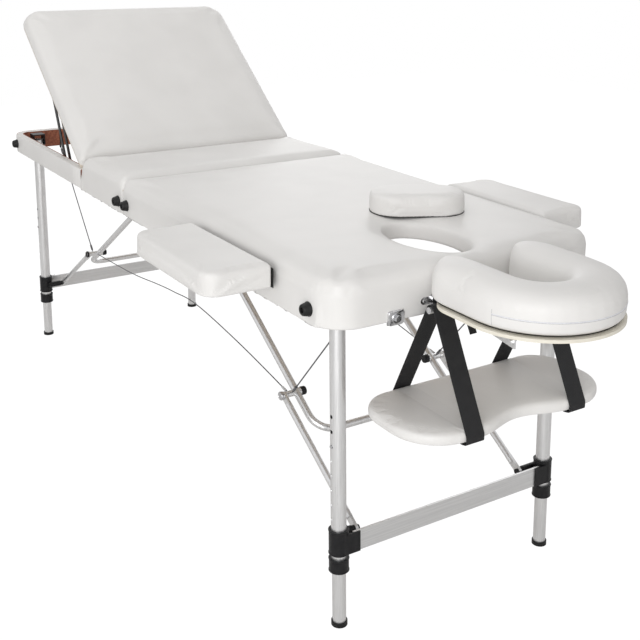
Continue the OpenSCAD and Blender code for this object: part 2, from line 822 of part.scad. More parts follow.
// Shoulder bolt on the foot rails that carries the two strips of the prop
module prop_bolt() {
    out = strip_outer_lane + strip_thickness / 2 + seat_gap;
    into = strip_inner_lane - strip_thickness / 2 - seat_gap;
    cross_pin(prop_pivot_x, leg_z, prop_bolt_d, into, rail_inner);
    cross_pin(prop_pivot_x, leg_z, 2 * prop_bolt_d, out, rail_inner);
    cross_pin(prop_pivot_x, leg_z, 1.6 * prop_bolt_d, into - bracket_plate, into);
    cross_pin(prop_pivot_x, leg_z, 1.6 * prop_bolt_d,
        strip_inner_lane + strip_thickness / 2 + seat_gap,
        strip_outer_lane - strip_thickness / 2 - seat_gap);
}

// Puts its children on one leg: Z runs up the leaning tube from the hinge, Y points outward
module leg_place(end, near) {
    half(end) mirror([0, near ? 1 : 0, 0])
        translate([leg_x, leg_lane, leg_z]) rotate([0, -leg_splay, 0]) children();
}

module outer_leg(end, near) {
    leg_place(end, near) difference() {
        translate([0, 0, outer_leg_end - leg_reach])
            cylinder(h = leg_reach - outer_leg_end + leg_top, d = outer_leg_d);
        translate([0, 0, outer_leg_end - leg_reach - cut])
            cylinder(h = leg_reach + leg_top + cut, d = tube_bore_d);
        cross_pin(0, 0, leg_bolt_d + 2 * pin_fit, -outer_leg_d, outer_leg_d);
        for (k = [-holes_below:holes_above])
            cross_pin(0, button_height - leg_reach + k * hole_pitch, hole_d, 0, outer_leg_d);
    }
}

module inner_leg(end, near) {
    bottom = foot_cap_floor - leg_reach;
    leg_place(end, near) difference() {
        translate([0, 0, bottom]) cylinder(h = inner_leg_top - foot_cap_floor, d = inner_leg_d);
        translate([0, 0, bottom - cut])
            cylinder(h = inner_leg_top + 2 * cut, d = inner_leg_d - 2 * inner_leg_wall);
        cross_pin(0, button_height - leg_reach, button_d + 4 * pin_fit, 0, outer_leg_d);
    }
}

module foot_cap(end, near) {
    difference() {
        leg_place(end, near) difference() {
            translate([0, 0, -leg_reach - foot_cap_floor])
                cylinder(h = foot_cap_height + foot_cap_floor, d = foot_cap_d);
            translate([0, 0, foot_cap_floor - leg_reach]) cylinder(h = foot_cap_height, d = inner_leg_d);
        }
        translate([-2 * half_length, -frame_width, -foot_cap_d])
            cube([4 * half_length, 2 * frame_width, foot_cap_d]);
    }
}

module button(end, near) {
    leg_place(end, near) {
        cross_pin(0, button_height - leg_reach, button_d, button_seat, inner_leg_d / 2 + button_proud);
        cross_pin(0, button_height - leg_reach, button_flange_d, button_seat - button_flange, button_seat);
    }
}

module outer_legs(end) {
    color(silver) for (near = [true, false]) outer_leg(end, near);
}

module crossbar(end) {
    color(silver) half(end) translate([leg_x, 0, leg_z]) rotate([0, -leg_splay, 0])
        translate([crossbar_offset - crossbar_thickness / 2, -crossbar_end, crossbar_bottom - leg_reach])
        cube([crossbar_thickness, 2 * crossbar_end, crossbar_height]);
}

// Clamp with its crossbar ear and link lug, and the collar below it
module clamps(end) {
    ear_x = crossbar_offset + crossbar_thickness / 2;
    color(black_part) for (near = [true, false]) {
        leg_place(end, near) difference() {
            union() {
                translate([0, 0, clamp_bottom - leg_reach]) cylinder(h = clamp_height, d = clamp_d);
                translate([ear_x, -ear_length - clamp_d / 2, crossbar_bottom - leg_reach])
                    cube([ear_thickness, ear_length + clamp_d / 2, crossbar_height]);
                translate([0, 0, clamp_bottom - collar_gap - collar_height - leg_reach])
                    cylinder(h = collar_height, d = clamp_d);
            }
            translate([0, 0, -leg_reach]) cylinder(h = leg_reach, d = outer_leg_d);
        }
        half(end) mirror([0, near ? 1 : 0, 0]) {
            difference() {
                union() {
                    cross_pin(link_pivot[0], link_pivot[1], lug_d, lug_face, leg_lane);
                    cross_pin(link_pivot[0], link_pivot[1], spacer_d,
                        link_lane + link_plate / 2 + seat_gap, lug_face);
                }
                translate([leg_x, leg_lane, leg_z]) rotate([0, -leg_splay, 0])
                    translate([0, 0, -leg_reach]) cylinder(h = leg_reach, d = (clamp_d + outer_leg_d) / 2);
            }
            cross_pin(link_pivot[0], link_pivot[1], brace_bolt_d,
                link_lane - link_plate / 2 - seat_gap - bolt_head, lug_face);
            cross_pin(link_pivot[0], link_pivot[1], 2 * brace_bolt_d,
                link_lane - link_plate / 2 - seat_gap - bolt_head, link_lane - link_plate / 2 - seat_gap);
        }
    }
}

// U of round tube hinged near the fold, with the bolts and knobs of its pivots
module brace(end) {
    straight = brace_length + brace_tail;
    color(silver) half(end) {
        aim(brace_hinge, brace_pivot, 0) {
            both_sides() {
                difference() {
                    translate([0, brace_lane, -brace_top]) cylinder(h = straight + brace_top, d = brace_d);
                    translate([0, brace_lane, 0]) rotate([90, 0, 0])
                        cylinder(h = 2 * brace_d, d = brace_bolt_d + 2 * pin_fit, center = true);
                }
                translate([0, brace_lane - brace_bend, straight]) rotate([0, -90, 0])
                    rotate_extrude(angle = 90) translate([brace_bend, 0]) circle(d = brace_d, $fn = 32);
            }
            translate([0, 0, straight + brace_bend]) rotate([90, 0, 0])
                cylinder(h = 2 * (brace_lane - brace_bend), d = brace_d, center = true);
        }
    }
    color(black_part) half(end) both_sides() {
        x = brace_pivot[0];
        z = brace_pivot[1];
        inner = brace_lane - brace_d / 2;
        cross_pin(x, z, knob_d, inner - knob_length, inner + brace_d / 4);
        cross_pin(x, z, spacer_d, brace_lane, link_lane - link_d / 2 - seat_gap);
    }
}

module links(end) {
    color(silver) half(end) both_sides() difference() {
        aim(link_pivot, brace_pivot, link_lane) union() {
            translate([0, 0, link_flat]) cylinder(h = link_length - 2 * link_flat, d = link_d);
            for (z = [0, link_length - link_flat - link_d])
                translate([-link_plate_w / 2, -link_plate / 2, z])
                    cube([link_plate_w, link_plate, link_flat + link_d]);
            for (z = [0, link_length])
                translate([0, 0, z]) rotate([90, 0, 0])
                    cylinder(h = link_plate, d = link_plate_w, center = true);
        }
        cross_pin(link_pivot[0], link_pivot[1], brace_bolt_d + 2 * pin_fit, 0, lug_face);
    }
    color(black_part) half(end) both_sides() {
        cross_pin(brace_pivot[0], brace_pivot[1], knob_d,
            link_lane + link_plate / 2, link_lane + link_plate / 2 + link_cap);
        cross_pin(brace_pivot[0], brace_pivot[1], spacer_d,
            link_lane - link_d / 2, link_lane - link_plate / 2);
    }
}

// Straight run of steel cable with a pressed sleeve at each end that is asked for
module cable_run(from, to, y, gap_from, gap_to, sleeve_from, sleeve_to) {
    run = norm(to - from);
    aim(from, to, y) {
        translate([0, 0, gap_from]) cylinder(h = run - gap_from - gap_to, d = cable_d, $fn = 16);
        if (sleeve_from) translate([0, 0, gap_from + sleeve_d]) cylinder(h = sleeve_length, d = sleeve_d);
        if (sleeve_to) translate([0, 0, run - gap_to - sleeve_d - sleeve_length])
            cylinder(h = sleeve_length, d = sleeve_d);
    }
}

module short_cables(end) {
    lane = end > 0 ? inner_cable_lane : outer_cable_lane;
    color(bright) half(end) both_sides()
        cable_run([eye_x, eye_z], brace_pivot, lane, eye_ring + eye_wire + seat_gap,
            spacer_d / 2 + seat_gap, true, true);
}

module head_long_cables() {
    color(bright) half(1) both_sides() {
        cable_run(brace_pivot, head_cable_bend, outer_cable_lane, spacer_d / 2 + seat_gap,
            sleeve_length / 4, true, false);
        cable_run(head_cable_bend, cable_low_point, outer_cable_lane, sleeve_length / 4, cable_d,
            false, true);
        chord = cable_low_point - brace_pivot;
        translate([head_cable_bend[0], outer_cable_lane, head_cable_bend[1]])
            rotate([0, atan2(chord[0], chord[1]), 0])
            cylinder(h = sleeve_length, d = sleeve_d, center = true);
    }
}

module foot_long_cables() {
    color(bright) half(-1) both_sides()
        cable_run(brace_pivot, cable_low_point, inner_cable_lane, spacer_d / 2 + seat_gap, cable_d,
            true, true);
}

// Oval screw plate with a raised collar round a headrest rod
module socket_flange() {
    rotate([90, 0, 90]) {
        difference() {
            union() {
                linear_extrude(flange_thickness) {
                    circle(d = flange_d);
                    for (s = [-1, 1]) translate([s * flange_screw, 0]) circle(d = flange_end_d);
                    translate([-flange_screw, -flange_end_d / 2]) square([2 * flange_screw, flange_end_d]);
                }
                cylinder(h = flange_collar, d = flange_d - 2 * flange_thickness);
            }
            translate([0, 0, -cut]) cylinder(h = flange_collar + 2 * cut, d = socket_bore);
        }
        for (s = [-1, 1]) translate([s * flange_screw, 0, flange_thickness])
            cylinder(h = screw_head, d1 = flange_end_d / 2, d2 = flange_end_d / 3);
    }
}

// Bolt plates, rod sockets, armrest bushes, handle ears and latch posts of the head half
module head_fittings() {
    color(bright) half(1) {
        both_sides() {
            translate([half_length - socket_length, headrest_rod_lane, headrest_z])
                rotate([0, 90, 0]) difference() {
                    cylinder(h = socket_length, d = socket_d);
                    translate([0, 0, -cut]) cylinder(h = socket_length + 2 * cut, d = socket_bore);
                }
            translate([half_length, headrest_rod_lane, headrest_z]) socket_flange();
            translate([half_length, bolt_plate_lane, bolt_plate_z]) rotate([0, 90, 0]) {
                translate([-bolt_plate_h / 2, -bolt_plate_w / 2, 0])
                    cube([bolt_plate_h, bolt_plate_w, flange_thickness]);
                cylinder(h = flange_thickness + screw_head, d = 2 * leg_bolt_d + screw_head);
                cylinder(h = flange_thickness + 3 * screw_head, d = 1.5 * leg_bolt_d, $fn = 6);
            }
            for (x = [-1, 1]) difference() {
                union() {
                    cross_pin(armrest_mid + x * armrest_pin_spacing / 2, armrest_pin_z, pin_socket_d,
                        rail_inner, rail_face);
                    cross_pin(armrest_mid + x * armrest_pin_spacing / 2, armrest_pin_z,
                        pin_socket_d + 4 * pin_socket_wall, rail_face, rail_face + pin_socket_wall);
                }
                cross_pin(armrest_mid + x * armrest_pin_spacing / 2, armrest_pin_z, pin_socket_bore,
                    rail_inner - cut, rail_face + 2 * pin_socket_wall);
            }
        }
        handle_ears();
        for (x = latch_places) latch_post(x);
    }
}

module foot_fittings() {
    color(bright) half(-1) {
        handle_ears();
        for (x = latch_places) latch_keeper(x);
    }
}

// Two ears on the far rail that a carry handle swings in
module handle_ears() {
    for (s = [-1, 1]) translate([handle_x + s * handle_width / 2, 0, 0]) difference() {
        translate([-ear_w / 2, rail_face, handle_z - ear_w / 2])
            cube([ear_w, handle_out + ear_w / 2, ear_w]);
        translate([-ear_w, rail_face + handle_out, handle_z]) rotate([0, 90, 0])
            cylinder(h = 2 * ear_w, d = handle_rod_d + 2 * pin_fit);
    }
}

// Swinging bail of a carry handle with a thick grip
module carry_handle(end) {
    out = rail_face + handle_out;
    half_w = handle_width / 2;
    tip = handle_z - handle_drop;
    color(black_part) half(end) translate([handle_x, out, 0]) {
        for (s = [-1, 1]) {
            translate([s * half_w - ear_w, 0, handle_z]) rotate([0, 90, 0])
                cylinder(h = 2 * ear_w, d = handle_rod_d);
            translate([s * (half_w - ear_w), 0, tip]) cylinder(h = handle_drop, d = handle_rod_d);
            for (z = [tip, handle_z]) translate([s * (half_w - ear_w), 0, z]) sphere(d = handle_rod_d);
        }
        translate([ear_w - half_w, 0, tip]) rotate([0, 90, 0])
            cylinder(h = 2 * (half_w - ear_w), d = handle_rod_d);
        translate([2 * ear_w - half_w, 0, tip]) rotate([0, 90, 0])
            cylinder(h = 2 * (half_w - 2 * ear_w), d = handle_grip_d);
    }
}

// Base of a draw latch on the far rail of the head half
module latch_post(x) {
    translate([x - latch_w / 2, rail_face, latch_z - latch_post_h / 2])
        cube([latch_w, latch_base, latch_post_h]);
    for (s = [-1, 1]) translate([x + s * (latch_w - latch_ear) / 2 - latch_ear / 2, rail_face,
        latch_z - latch_post_h / 2]) cube([latch_ear, latch_out + latch_ear, latch_post_h]);
    translate([x - latch_w / 2, rail_face + latch_out, latch_z]) rotate([0, 90, 0])
        cylinder(h = latch_w, d = latch_pin_d);
}

module latch_keeper(x) {
    translate([x - latch_w / 2, rail_face, latch_z - latch_post_h / 2])
        cube([latch_w, latch_base, latch_post_h]);
    translate([x - latch_w / 2, rail_face, latch_z]) cube([latch_w, latch_out, latch_base]);
}

module latch_lever(x) {
    inner_w = latch_w - 2 * latch_ear - 2 * seat_gap;
    color(bright) half(1) translate([x - inner_w / 2, rail_face + latch_out, latch_z]) difference() {
        union() {
            rotate([0, 90, 0]) cylinder(h = inner_w, d = 2 * latch_pin_d);
            translate([0, -latch_pin_d / 2, 0]) cube([inner_w, latch_pin_d, latch_lever_length]);
        }
        translate([-cut, 0, 0]) rotate([0, 90, 0])
            cylinder(h = inner_w + 2 * cut, d = latch_pin_d + 2 * pin_fit);
    }
}

// Two rods and the tilt bar that joins them
module headrest_rods() {
    start = half_length - socket_length + screw_head;
    color(silver) placed() {
        both_sides() translate([start, headrest_rod_lane, headrest_z]) rotate([0, 90, 0])
            cylinder(h = tilt_bar_x - start, d = headrest_rod_d);
        cross_pin(tilt_bar_x, headrest_z, headrest_rod_d, -tilt_bar_end, tilt_bar_end);
    }
}

// Flat arms under the headrest board, on bosses that turn on the tilt bar
module headrest_arms() {
    color(silver) placed() both_sides() difference() {
        union() {
            cross_pin(tilt_bar_x, headrest_z, tilt_boss_d,
                tilt_arm_lane - tilt_boss_w / 2, tilt_arm_lane + tilt_boss_w / 2);
            translate([tilt_bar_x, tilt_arm_lane, 0])
                rotate([0, 0, atan2(tilt_arm_spread, tilt_arm_length)]) {
                    translate([0, -tilt_arm_thickness / 2, board_bottom - tilt_arm_depth])
                        cube([tilt_arm_length, tilt_arm_thickness, tilt_arm_depth]);
                    cross_pin(tilt_arm_length - tilt_arm_depth / 2, board_bottom - tilt_arm_depth / 2,
                        tilt_arm_depth / 2, -tilt_arm_thickness, 2 * tilt_arm_thickness);
                }
        }
        cross_pin(tilt_bar_x, headrest_z, headrest_rod_d + 2 * pin_fit, 0, tilt_bar_end);
    }
}

module headrest_board() {
    tip = cushion_x + cushion_length + board_margin;
    w = cushion_width / 2 + board_margin;
    inner = cushion_ring - cushion_arm / 2 - board_margin;
    color(pale_ply) placed() translate([0, 0, board_bottom]) linear_extrude(board_thickness) difference() {
        slab_2d(cushion_x + board_set_back, tip, w, board_corner, w);
        translate([cushion_x - board_corner, -inner])
            square([cushion_arc_x - cushion_x + board_corner, 2 * inner]);
        translate([cushion_arc_x, 0]) circle(inner, $fn = 64);
    }
}

// Stations of the horseshoe cushion as [x, y, heading, width share]
function horseshoe_stations() =
    let (a = cushion_arm / 2)
    concat(
        [for (t = [16, 36, 60, 90]) [cushion_x + a * (1 - cos(t)), -cushion_ring, 0, sin(t)]],
        [for (x = [0.5, 1]) [cushion_x + a + x * (cushion_arc_x - cushion_x - a), -cushion_ring, 0, 1]],
        [for (i = [1:9]) let (t = 18 * i)
            [cushion_arc_x + cushion_ring * sin(t), -cushion_ring * cos(t), t, 1]],
        [for (x = [1, 0.5]) [cushion_x + a + x * (cushion_arc_x - cushion_x - a), cushion_ring, 180, 1]],
        [for (t = [90, 60, 36, 16]) [cushion_x + a * (1 - cos(t)), cushion_ring, 180, sin(t)]]
    );

// Section of the horseshoe cushion: round top, flatter drawn-in foot
section_steps = 20;
function horseshoe_section(width_share) =
    [for (i = [0:section_steps - 1])
        let (
            t = 360 * i / section_steps,
            c = cos(t),
            s = sin(t),
            power = s > 0 ? 0.8 : 0.45,
            across = sign(c) * pow(abs(c), power) * cushion_arm / 2 * width_share,
            rise = sign(s) * pow(abs(s), power),
            high = cushion_height * (0.86 + 0.14 * width_share)
        )
        [
            across * (rise < 0 ? 1 + rise * pad_draw / cushion_arm * 2 : 1),
            high * (0.45 + (rise > 0 ? 0.55 : 0.45) * rise)
        ]];

module headrest_cushion() {
    stations = horseshoe_stations();
    rings = [for (q = stations)
        [for (p = horseshoe_section(q[3]))
            [q[0] - p[0] * sin(q[2]), q[1] + p[0] * cos(q[2]), p[1]]]];
    middle = 0.45 * cushion_height;
    ends = [[cushion_x, -cushion_ring, middle], [cushion_x, cushion_ring, middle]];
    color(white_vinyl) placed() translate([0, 0, cushion_bottom])
        polyhedron(concat(flat_list(rings), ends), stack_faces(len(rings), section_steps));
}

// Cam lever that locks the headrest's tilt on its bar
module headrest_lever() {
    color(black_part) placed() difference() {
        translate([tilt_bar_x, -lever_lane, headrest_z]) {
            rotate([90, 0, 0]) cylinder(h = lever_w, d = tilt_boss_d, center = true);
            rotate([0, 180 - lever_angle, 0]) translate([-lever_thickness / 2, -lever_w / 2, 0])
                cube([lever_thickness, lever_w, lever_length]);
        }
        cross_pin(tilt_bar_x, headrest_z, headrest_rod_d + 2 * pin_fit, -tilt_bar_end, tilt_bar_end);
    }
}

// Closed loop of webbing round the tilt bar and the shelf, grown outward by t
module sling_loop(t) {
    hull() {
        translate([tilt_bar_x, headrest_z]) circle(headrest_rod_d / 2 + seat_gap + t, $fn = 32);
        for (x = [shelf_back - seat_gap + sling_corner, shelf_front + seat_gap - sling_corner])
            translate([x, shelf_bottom - seat_gap + sling_corner]) circle(sling_corner + t, $fn = 32);
        for (x = [shelf_back + shelf_edge, shelf_front - shelf_edge])
            translate([x, shelf_bottom + shelf_thickness - shelf_crown - shelf_edge])
                circle(shelf_edge + seat_gap + t, $fn = 32);
    }
}

module sling_straps() {
    color(black_webbing) placed() both_sides() translate([0, sling_lane + webbing_width / 2, 0])
        rotate([90, 0, 0]) linear_extrude(webbing_width) difference() {
            sling_loop(webbing_thickness);
            sling_loop(0);
        }
}

// Padded shelf with a straight rear edge and a front edge that is hollow between the straps
module arm_shelf() {
    half_len = shelf_length / 2;
    mid = (shelf_back + shelf_front) / 2;
    hollow_w = sling_lane - webbing_width / 2;
    wall_h = shelf_thickness - shelf_crown;
    function dented(p, z, k, lift) =
        let (dent = p[0] > mid && abs(p[1]) < hollow_w ? shelf_hollow * pow(cos(90 * p[1] / hollow_w), 2) : 0)
        [mid + (p[0] - dent - mid) * k, p[1] * k, z + lift];
    wall_rings = [for (s = wall_profile(wall_h, shelf_edge, pad_draw))
        [for (p = slab_outline(shelf_back, shelf_front, half_len, shelf_rear_corner, shelf_front_corner,
            s[0], 4, 8)) dented(p, s[1], 1, 0)]];
    top_rings = [for (k = crown_shares)
        [for (p = slab_outline(shelf_back, shelf_front, half_len, shelf_rear_corner, shelf_front_corner,
            shelf_edge, 4, 8)) dented(p, wall_h, k[0], shelf_crown * k[1])]];
    rings = concat(wall_rings, top_rings);
    ends = [[mid, 0, 0], [mid, 0, shelf_thickness]];
    color(white_vinyl) placed() translate([0, 0, shelf_bottom])
        polyhedron(concat(flat_list(rings), ends), stack_faces(len(rings), len(rings[0])));
}

module armrest_pad(near) {
    color(white_vinyl) placed() mirror([0, near ? 1 : 0, 0])
        translate([0, armrest_inner + armrest_width / 2, armrest_top - armrest_thickness])
        cushion(armrest_start, armrest_start + armrest_length, armrest_width / 2, armrest_corner,
            armrest_corner, armrest_thickness - armrest_crown, armrest_edge, pad_draw, armrest_crown);
}

// Mounting strip of an armrest and its two pins
module armrest_pins(near) {
    strip_y = armrest_inner - seat_gap;
    color(bright) placed() mirror([0, near ? 1 : 0, 0]) {
        translate([armrest_mid - armrest_strip / 2, strip_y - flange_thickness,
            armrest_top - armrest_thickness + pad_draw])
            cube([armrest_strip, flange_thickness, armrest_strip_h]);
        for (x = [-1, 1])
            cross_pin(armrest_mid + x * armrest_pin_spacing / 2, armrest_pin_z, armrest_pin_d,
                rail_inner - pin_tail, strip_y);
    }
}

// Plug cushion of the face hole, lying on the pad beside it
module plug_cushion() {
    color(white_vinyl) placed() translate([plug_x, plug_y, pad_top + pad_crown + seat_gap])
        rotate([0, 0, plug_turn])
        cushion(-plug_length / 2, plug_length / 2, plug_width / 2, plug_corner, plug_corner,
            plug_height - plug_crown, plug_edge, pad_draw, plug_crown);
}

head_frame();
head_deck();
head_pad();
head_bumpers();
fold_hinge_head();
head_brackets();
head_fittings();
foot_frame();
middle_deck();
middle_pad();
foot_bumpers();
fold_hinge_foot();
foot_brackets();
foot_fittings();
backrest_deck();
backrest_pad();
backrest_hinge();
backrest_prop();
outer_legs(1);  // head_outer_legs
crossbar(1);  // head_crossbar
clamps(1);  // head_clamps
outer_legs(-1);  // foot_outer_legs
crossbar(-1);  // foot_crossbar
clamps(-1);  // foot_clamps
color(silver) inner_leg(1, true);  // head_near_inner_leg
color(black_part) foot_cap(1, true);  // head_near_foot_cap
color(bright) button(1, true);  // head_near_button
color(silver) inner_leg(1, false);  // head_far_inner_leg
color(black_part) foot_cap(1, false);  // head_far_foot_cap
color(bright) button(1, false);  // head_far_button
color(silver) inner_leg(-1, true);  // foot_near_inner_leg
color(black_part) foot_cap(-1, true);  // foot_near_foot_cap
color(bright) button(-1, true);  // foot_near_button
color(silver) inner_leg(-1, false);  // foot_far_inner_leg
color(black_part) foot_cap(-1, false);  // foot_far_foot_cap
color(bright) button(-1, false);  // foot_far_button
brace(1);  // head_brace
links(1);  // head_links
short_cables(1);  // head_short_cables
head_long_cables();
brace(-1);  // foot_brace
links(-1);  // foot_links
short_cables(-1);  // foot_short_cables
foot_long_cables();
headrest_rods();
headrest_arms();
headrest_board();
headrest_cushion();
headrest_lever();
sling_straps();
arm_shelf();
armrest_pad(true);  // armrest_near_pad
armrest_pins(true);  // armrest_near_pins
armrest_pad(false);  // armrest_far_pad
armrest_pins(false);  // armrest_far_pins
plug_cushion();
carry_handle(1);  // head_handle
carry_handle(-1);  // foot_handle
latch_lever(latch_places[0]);  // latch_lever_inner
latch_lever(latch_places[1]);  // latch_lever_outer
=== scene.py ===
import math
import bpy
import bmesh
from mathutils import Matrix, Vector
from mathutils.bvhtree import BVHTree


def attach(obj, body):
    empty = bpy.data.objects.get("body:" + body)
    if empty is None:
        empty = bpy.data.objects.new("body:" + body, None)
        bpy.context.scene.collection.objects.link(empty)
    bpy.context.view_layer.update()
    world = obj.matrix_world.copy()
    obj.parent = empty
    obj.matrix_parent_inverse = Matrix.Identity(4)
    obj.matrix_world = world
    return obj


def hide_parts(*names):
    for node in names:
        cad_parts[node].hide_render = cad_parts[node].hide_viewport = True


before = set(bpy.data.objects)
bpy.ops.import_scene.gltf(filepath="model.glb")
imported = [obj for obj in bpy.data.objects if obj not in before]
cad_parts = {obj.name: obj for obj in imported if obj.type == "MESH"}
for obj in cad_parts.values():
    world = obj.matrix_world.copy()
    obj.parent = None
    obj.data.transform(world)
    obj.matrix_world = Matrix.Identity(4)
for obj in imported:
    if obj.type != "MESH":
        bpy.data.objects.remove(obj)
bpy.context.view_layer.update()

# The camera looks along the table from beyond its head end, from a little
# above the pads, with the view moved down so that upright legs stay upright.
eye_at = Vector((2.162, -1.223, 1.287))
turn, dip, roll = math.radians(147.62), math.radians(15.53), math.radians(0.47)
ahead = Vector((math.cos(turn) * math.cos(dip), math.sin(turn) * math.cos(dip), -math.sin(dip)))
level = Vector((math.sin(turn), -math.cos(turn), 0))
rise = level.cross(ahead)
right = level * math.cos(roll) + rise * math.sin(roll)
up = rise * math.cos(roll) - level * math.sin(roll)
camera = bpy.data.objects.new("camera", bpy.data.cameras.new("camera"))
camera.data.lens = 57.6
camera.data.sensor_width = 36
camera.data.shift_y = -0.15
camera.matrix_world = Matrix.Translation(eye_at) @ Matrix((right, up, -ahead)).transposed().to_4x4()
bpy.context.collection.objects.link(camera)
scene = bpy.context.scene
scene.camera = camera
scene.view_settings.view_transform = "Standard"

# A white studio: the pale floor and the world are plain white to the camera
# and to reflections, and the lamps are broad, soft and mild on the vinyl.
world = bpy.data.worlds.new("studio")
scene.world = world
world.use_nodes = True
wn, wl = world.node_tree.nodes, world.node_tree.links
wn.clear()
path = wn.new("ShaderNodeLightPath")
fill = wn.new("ShaderNodeBackground")
fill.inputs["Color"].default_value = (1.0, 0.985, 0.97, 1)
fill.inputs["Strength"].default_value = 0.50
sheet_white = wn.new("ShaderNodeBackground")
sheet_white.inputs["Color"].default_value = (1, 1, 1, 1)
mirror_grey = wn.new("ShaderNodeBackground")
mirror_grey.inputs["Color"].default_value = (0.84, 0.84, 0.85, 1)
gloss = wn.new("ShaderNodeMixShader")
seen = wn.new("ShaderNodeMixShader")
wl.new(path.outputs["Is Glossy Ray"], gloss.inputs[0])
wl.new(fill.outputs[0], gloss.inputs[1])
wl.new(mirror_grey.outputs[0], gloss.inputs[2])
wl.new(path.outputs["Is Camera Ray"], seen.inputs[0])
wl.new(gloss.outputs[0], seen.inputs[1])
wl.new(sheet_white.outputs[0], seen.inputs[2])
wl.new(seen.outputs[0], wn.new("ShaderNodeOutputWorld").inputs[0])

bm = bmesh.new()
bmesh.ops.create_grid(bm, x_segments=1, y_segments=1, size=6)
floor_mesh = bpy.data.meshes.new("floor")
bm.to_mesh(floor_mesh)
bm.free()
floor = bpy.data.objects.new("floor", floor_mesh)
floor.location.z = -0.001
bpy.context.collection.objects.link(floor)
floor_paint = bpy.data.materials.new("floor_paint")
floor_paint.use_nodes = True
fn, fl = floor_paint.node_tree.nodes, floor_paint.node_tree.links
shade = fn["Principled BSDF"]
shade.inputs["Base Color"].default_value = (0.86, 0.86, 0.86, 1)
shade.inputs["Roughness"].default_value = 0.9
glow = fn.new("ShaderNodeEmission")
glow.inputs["Strength"].default_value = 1.08
floor_path = fn.new("ShaderNodeLightPath")
share = fn.new("ShaderNodeMath")
share.operation = "MULTIPLY"
share.inputs[1].default_value = 0.93
blend_shader = fn.new("ShaderNodeMixShader")
fl.new(floor_path.outputs["Is Camera Ray"], share.inputs[0])
fl.new(share.outputs[0], blend_shader.inputs[0])
fl.new(shade.outputs[0], blend_shader.inputs[1])
fl.new(glow.outputs[0], blend_shader.inputs[2])
fl.new(blend_shader.outputs[0], fn["Material Output"].inputs[0])
floor_mesh.materials.append(floor_paint)

lit_point = Vector((0, 0, 0.6))
for name, place, size, power in (
        ("front_softbox", (3.4, -3.0, 1.5), 2.8, 94),
        ("overhead_softbox", (-0.9, -0.4, 3.4), 3.0, 21),
        ("rear_softbox", (-3.0, 2.2, 1.9), 2.2, 20)):
    lamp = bpy.data.objects.new(name, bpy.data.lights.new(name, "AREA"))
    lamp.data.size = size
    lamp.data.energy = power
    lamp.location = place
    lamp.rotation_mode = "QUATERNION"
    lamp.rotation_quaternion = (lit_point - Vector(place)).to_track_quat("-Z", "Y")
    bpy.context.collection.objects.link(lamp)

# The rails of both halves and the batten under the backrest's hinge are bare
# reddish hardwood, sawn and sanded, and only seen from below and at the foot end.
def finish(name, dark, light, rough, metal=0.0, scale=(40, 40, 40), spread=0.05,
           bump=0.0, bump_scale=(900, 900, 900), detail=4.0):
    paint = bpy.data.materials.new(name)
    paint.use_nodes = True
    nodes, links = paint.node_tree.nodes, paint.node_tree.links
    surface = nodes["Principled BSDF"]
    surface.inputs["Metallic"].default_value = metal
    coords = nodes.new("ShaderNodeTexCoord")
    stretch = nodes.new("ShaderNodeMapping")
    stretch.inputs["Scale"].default_value = scale
    cloud = nodes.new("ShaderNodeTexNoise")
    cloud.inputs["Scale"].default_value = 1.0
    cloud.inputs["Detail"].default_value = detail
    tone = nodes.new("ShaderNodeValToRGB")
    tone.color_ramp.elements[0].position = 0.35
    tone.color_ramp.elements[0].color = (*dark, 1)
    tone.color_ramp.elements[1].position = 0.65
    tone.color_ramp.elements[1].color = (*light, 1)
    dull = nodes.new("ShaderNodeMapRange")
    dull.inputs["To Min"].default_value = rough - spread
    dull.inputs["To Max"].default_value = rough + spread
    links.new(coords.outputs["Object"], stretch.inputs["Vector"])
    links.new(stretch.outputs[0], cloud.inputs["Vector"])
    links.new(cloud.outputs["Fac"], tone.inputs[0])
    links.new(tone.outputs[0], surface.inputs["Base Color"])
    links.new(cloud.outputs["Fac"], dull.inputs["Value"])
    links.new(dull.outputs[0], surface.inputs["Roughness"])
    if bump:
        fine = nodes.new("ShaderNodeMapping")
        fine.inputs["Scale"].default_value = bump_scale
        pits = nodes.new("ShaderNodeTexNoise")
        pits.inputs["Scale"].default_value = 1.0
        relief = nodes.new("ShaderNodeBump")
        relief.inputs["Strength"].default_value = bump
        relief.inputs["Distance"].default_value = 0.001
        links.new(coords.outputs["Object"], fine.inputs["Vector"])
        links.new(fine.outputs[0], pits.inputs["Vector"])
        links.new(pits.outputs["Fac"], relief.inputs["Height"])
        links.new(relief.outputs[0], surface.inputs["Normal"])
    return paint


def coat(paint, *names):
    for name in names:
        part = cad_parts[name]
        if not part.material_slots:
            part.data.materials.append(paint)
        for held in part.material_slots:
            held.material = paint


rail_wood = finish("rail_wood", (0.20, 0.055, 0.028), (0.36, 0.12, 0.06), 0.55,
                   scale=(9, 150, 150), bump=0.35, bump_scale=(60, 900, 900))
coat(rail_wood, "head_frame", "foot_frame")

# The decks are thin pale plywood under the foam, glued and pinned to the rails;
# the headrest's board is the same ply, cut as a horseshoe and painted cream.
deck_ply = finish("deck_ply", (0.60, 0.53, 0.44), (0.70, 0.63, 0.54), 0.6,
                  scale=(12, 110, 400), bump=0.2, bump_scale=(70, 700, 700))
cream_board = finish("cream_board", (0.76, 0.72, 0.62), (0.80, 0.765, 0.67), 0.42,
                     scale=(25, 90, 500), bump=0.08)
coat(deck_ply, "head_deck", "middle_deck", "backrest_deck")
coat(cream_board, "headrest_board")

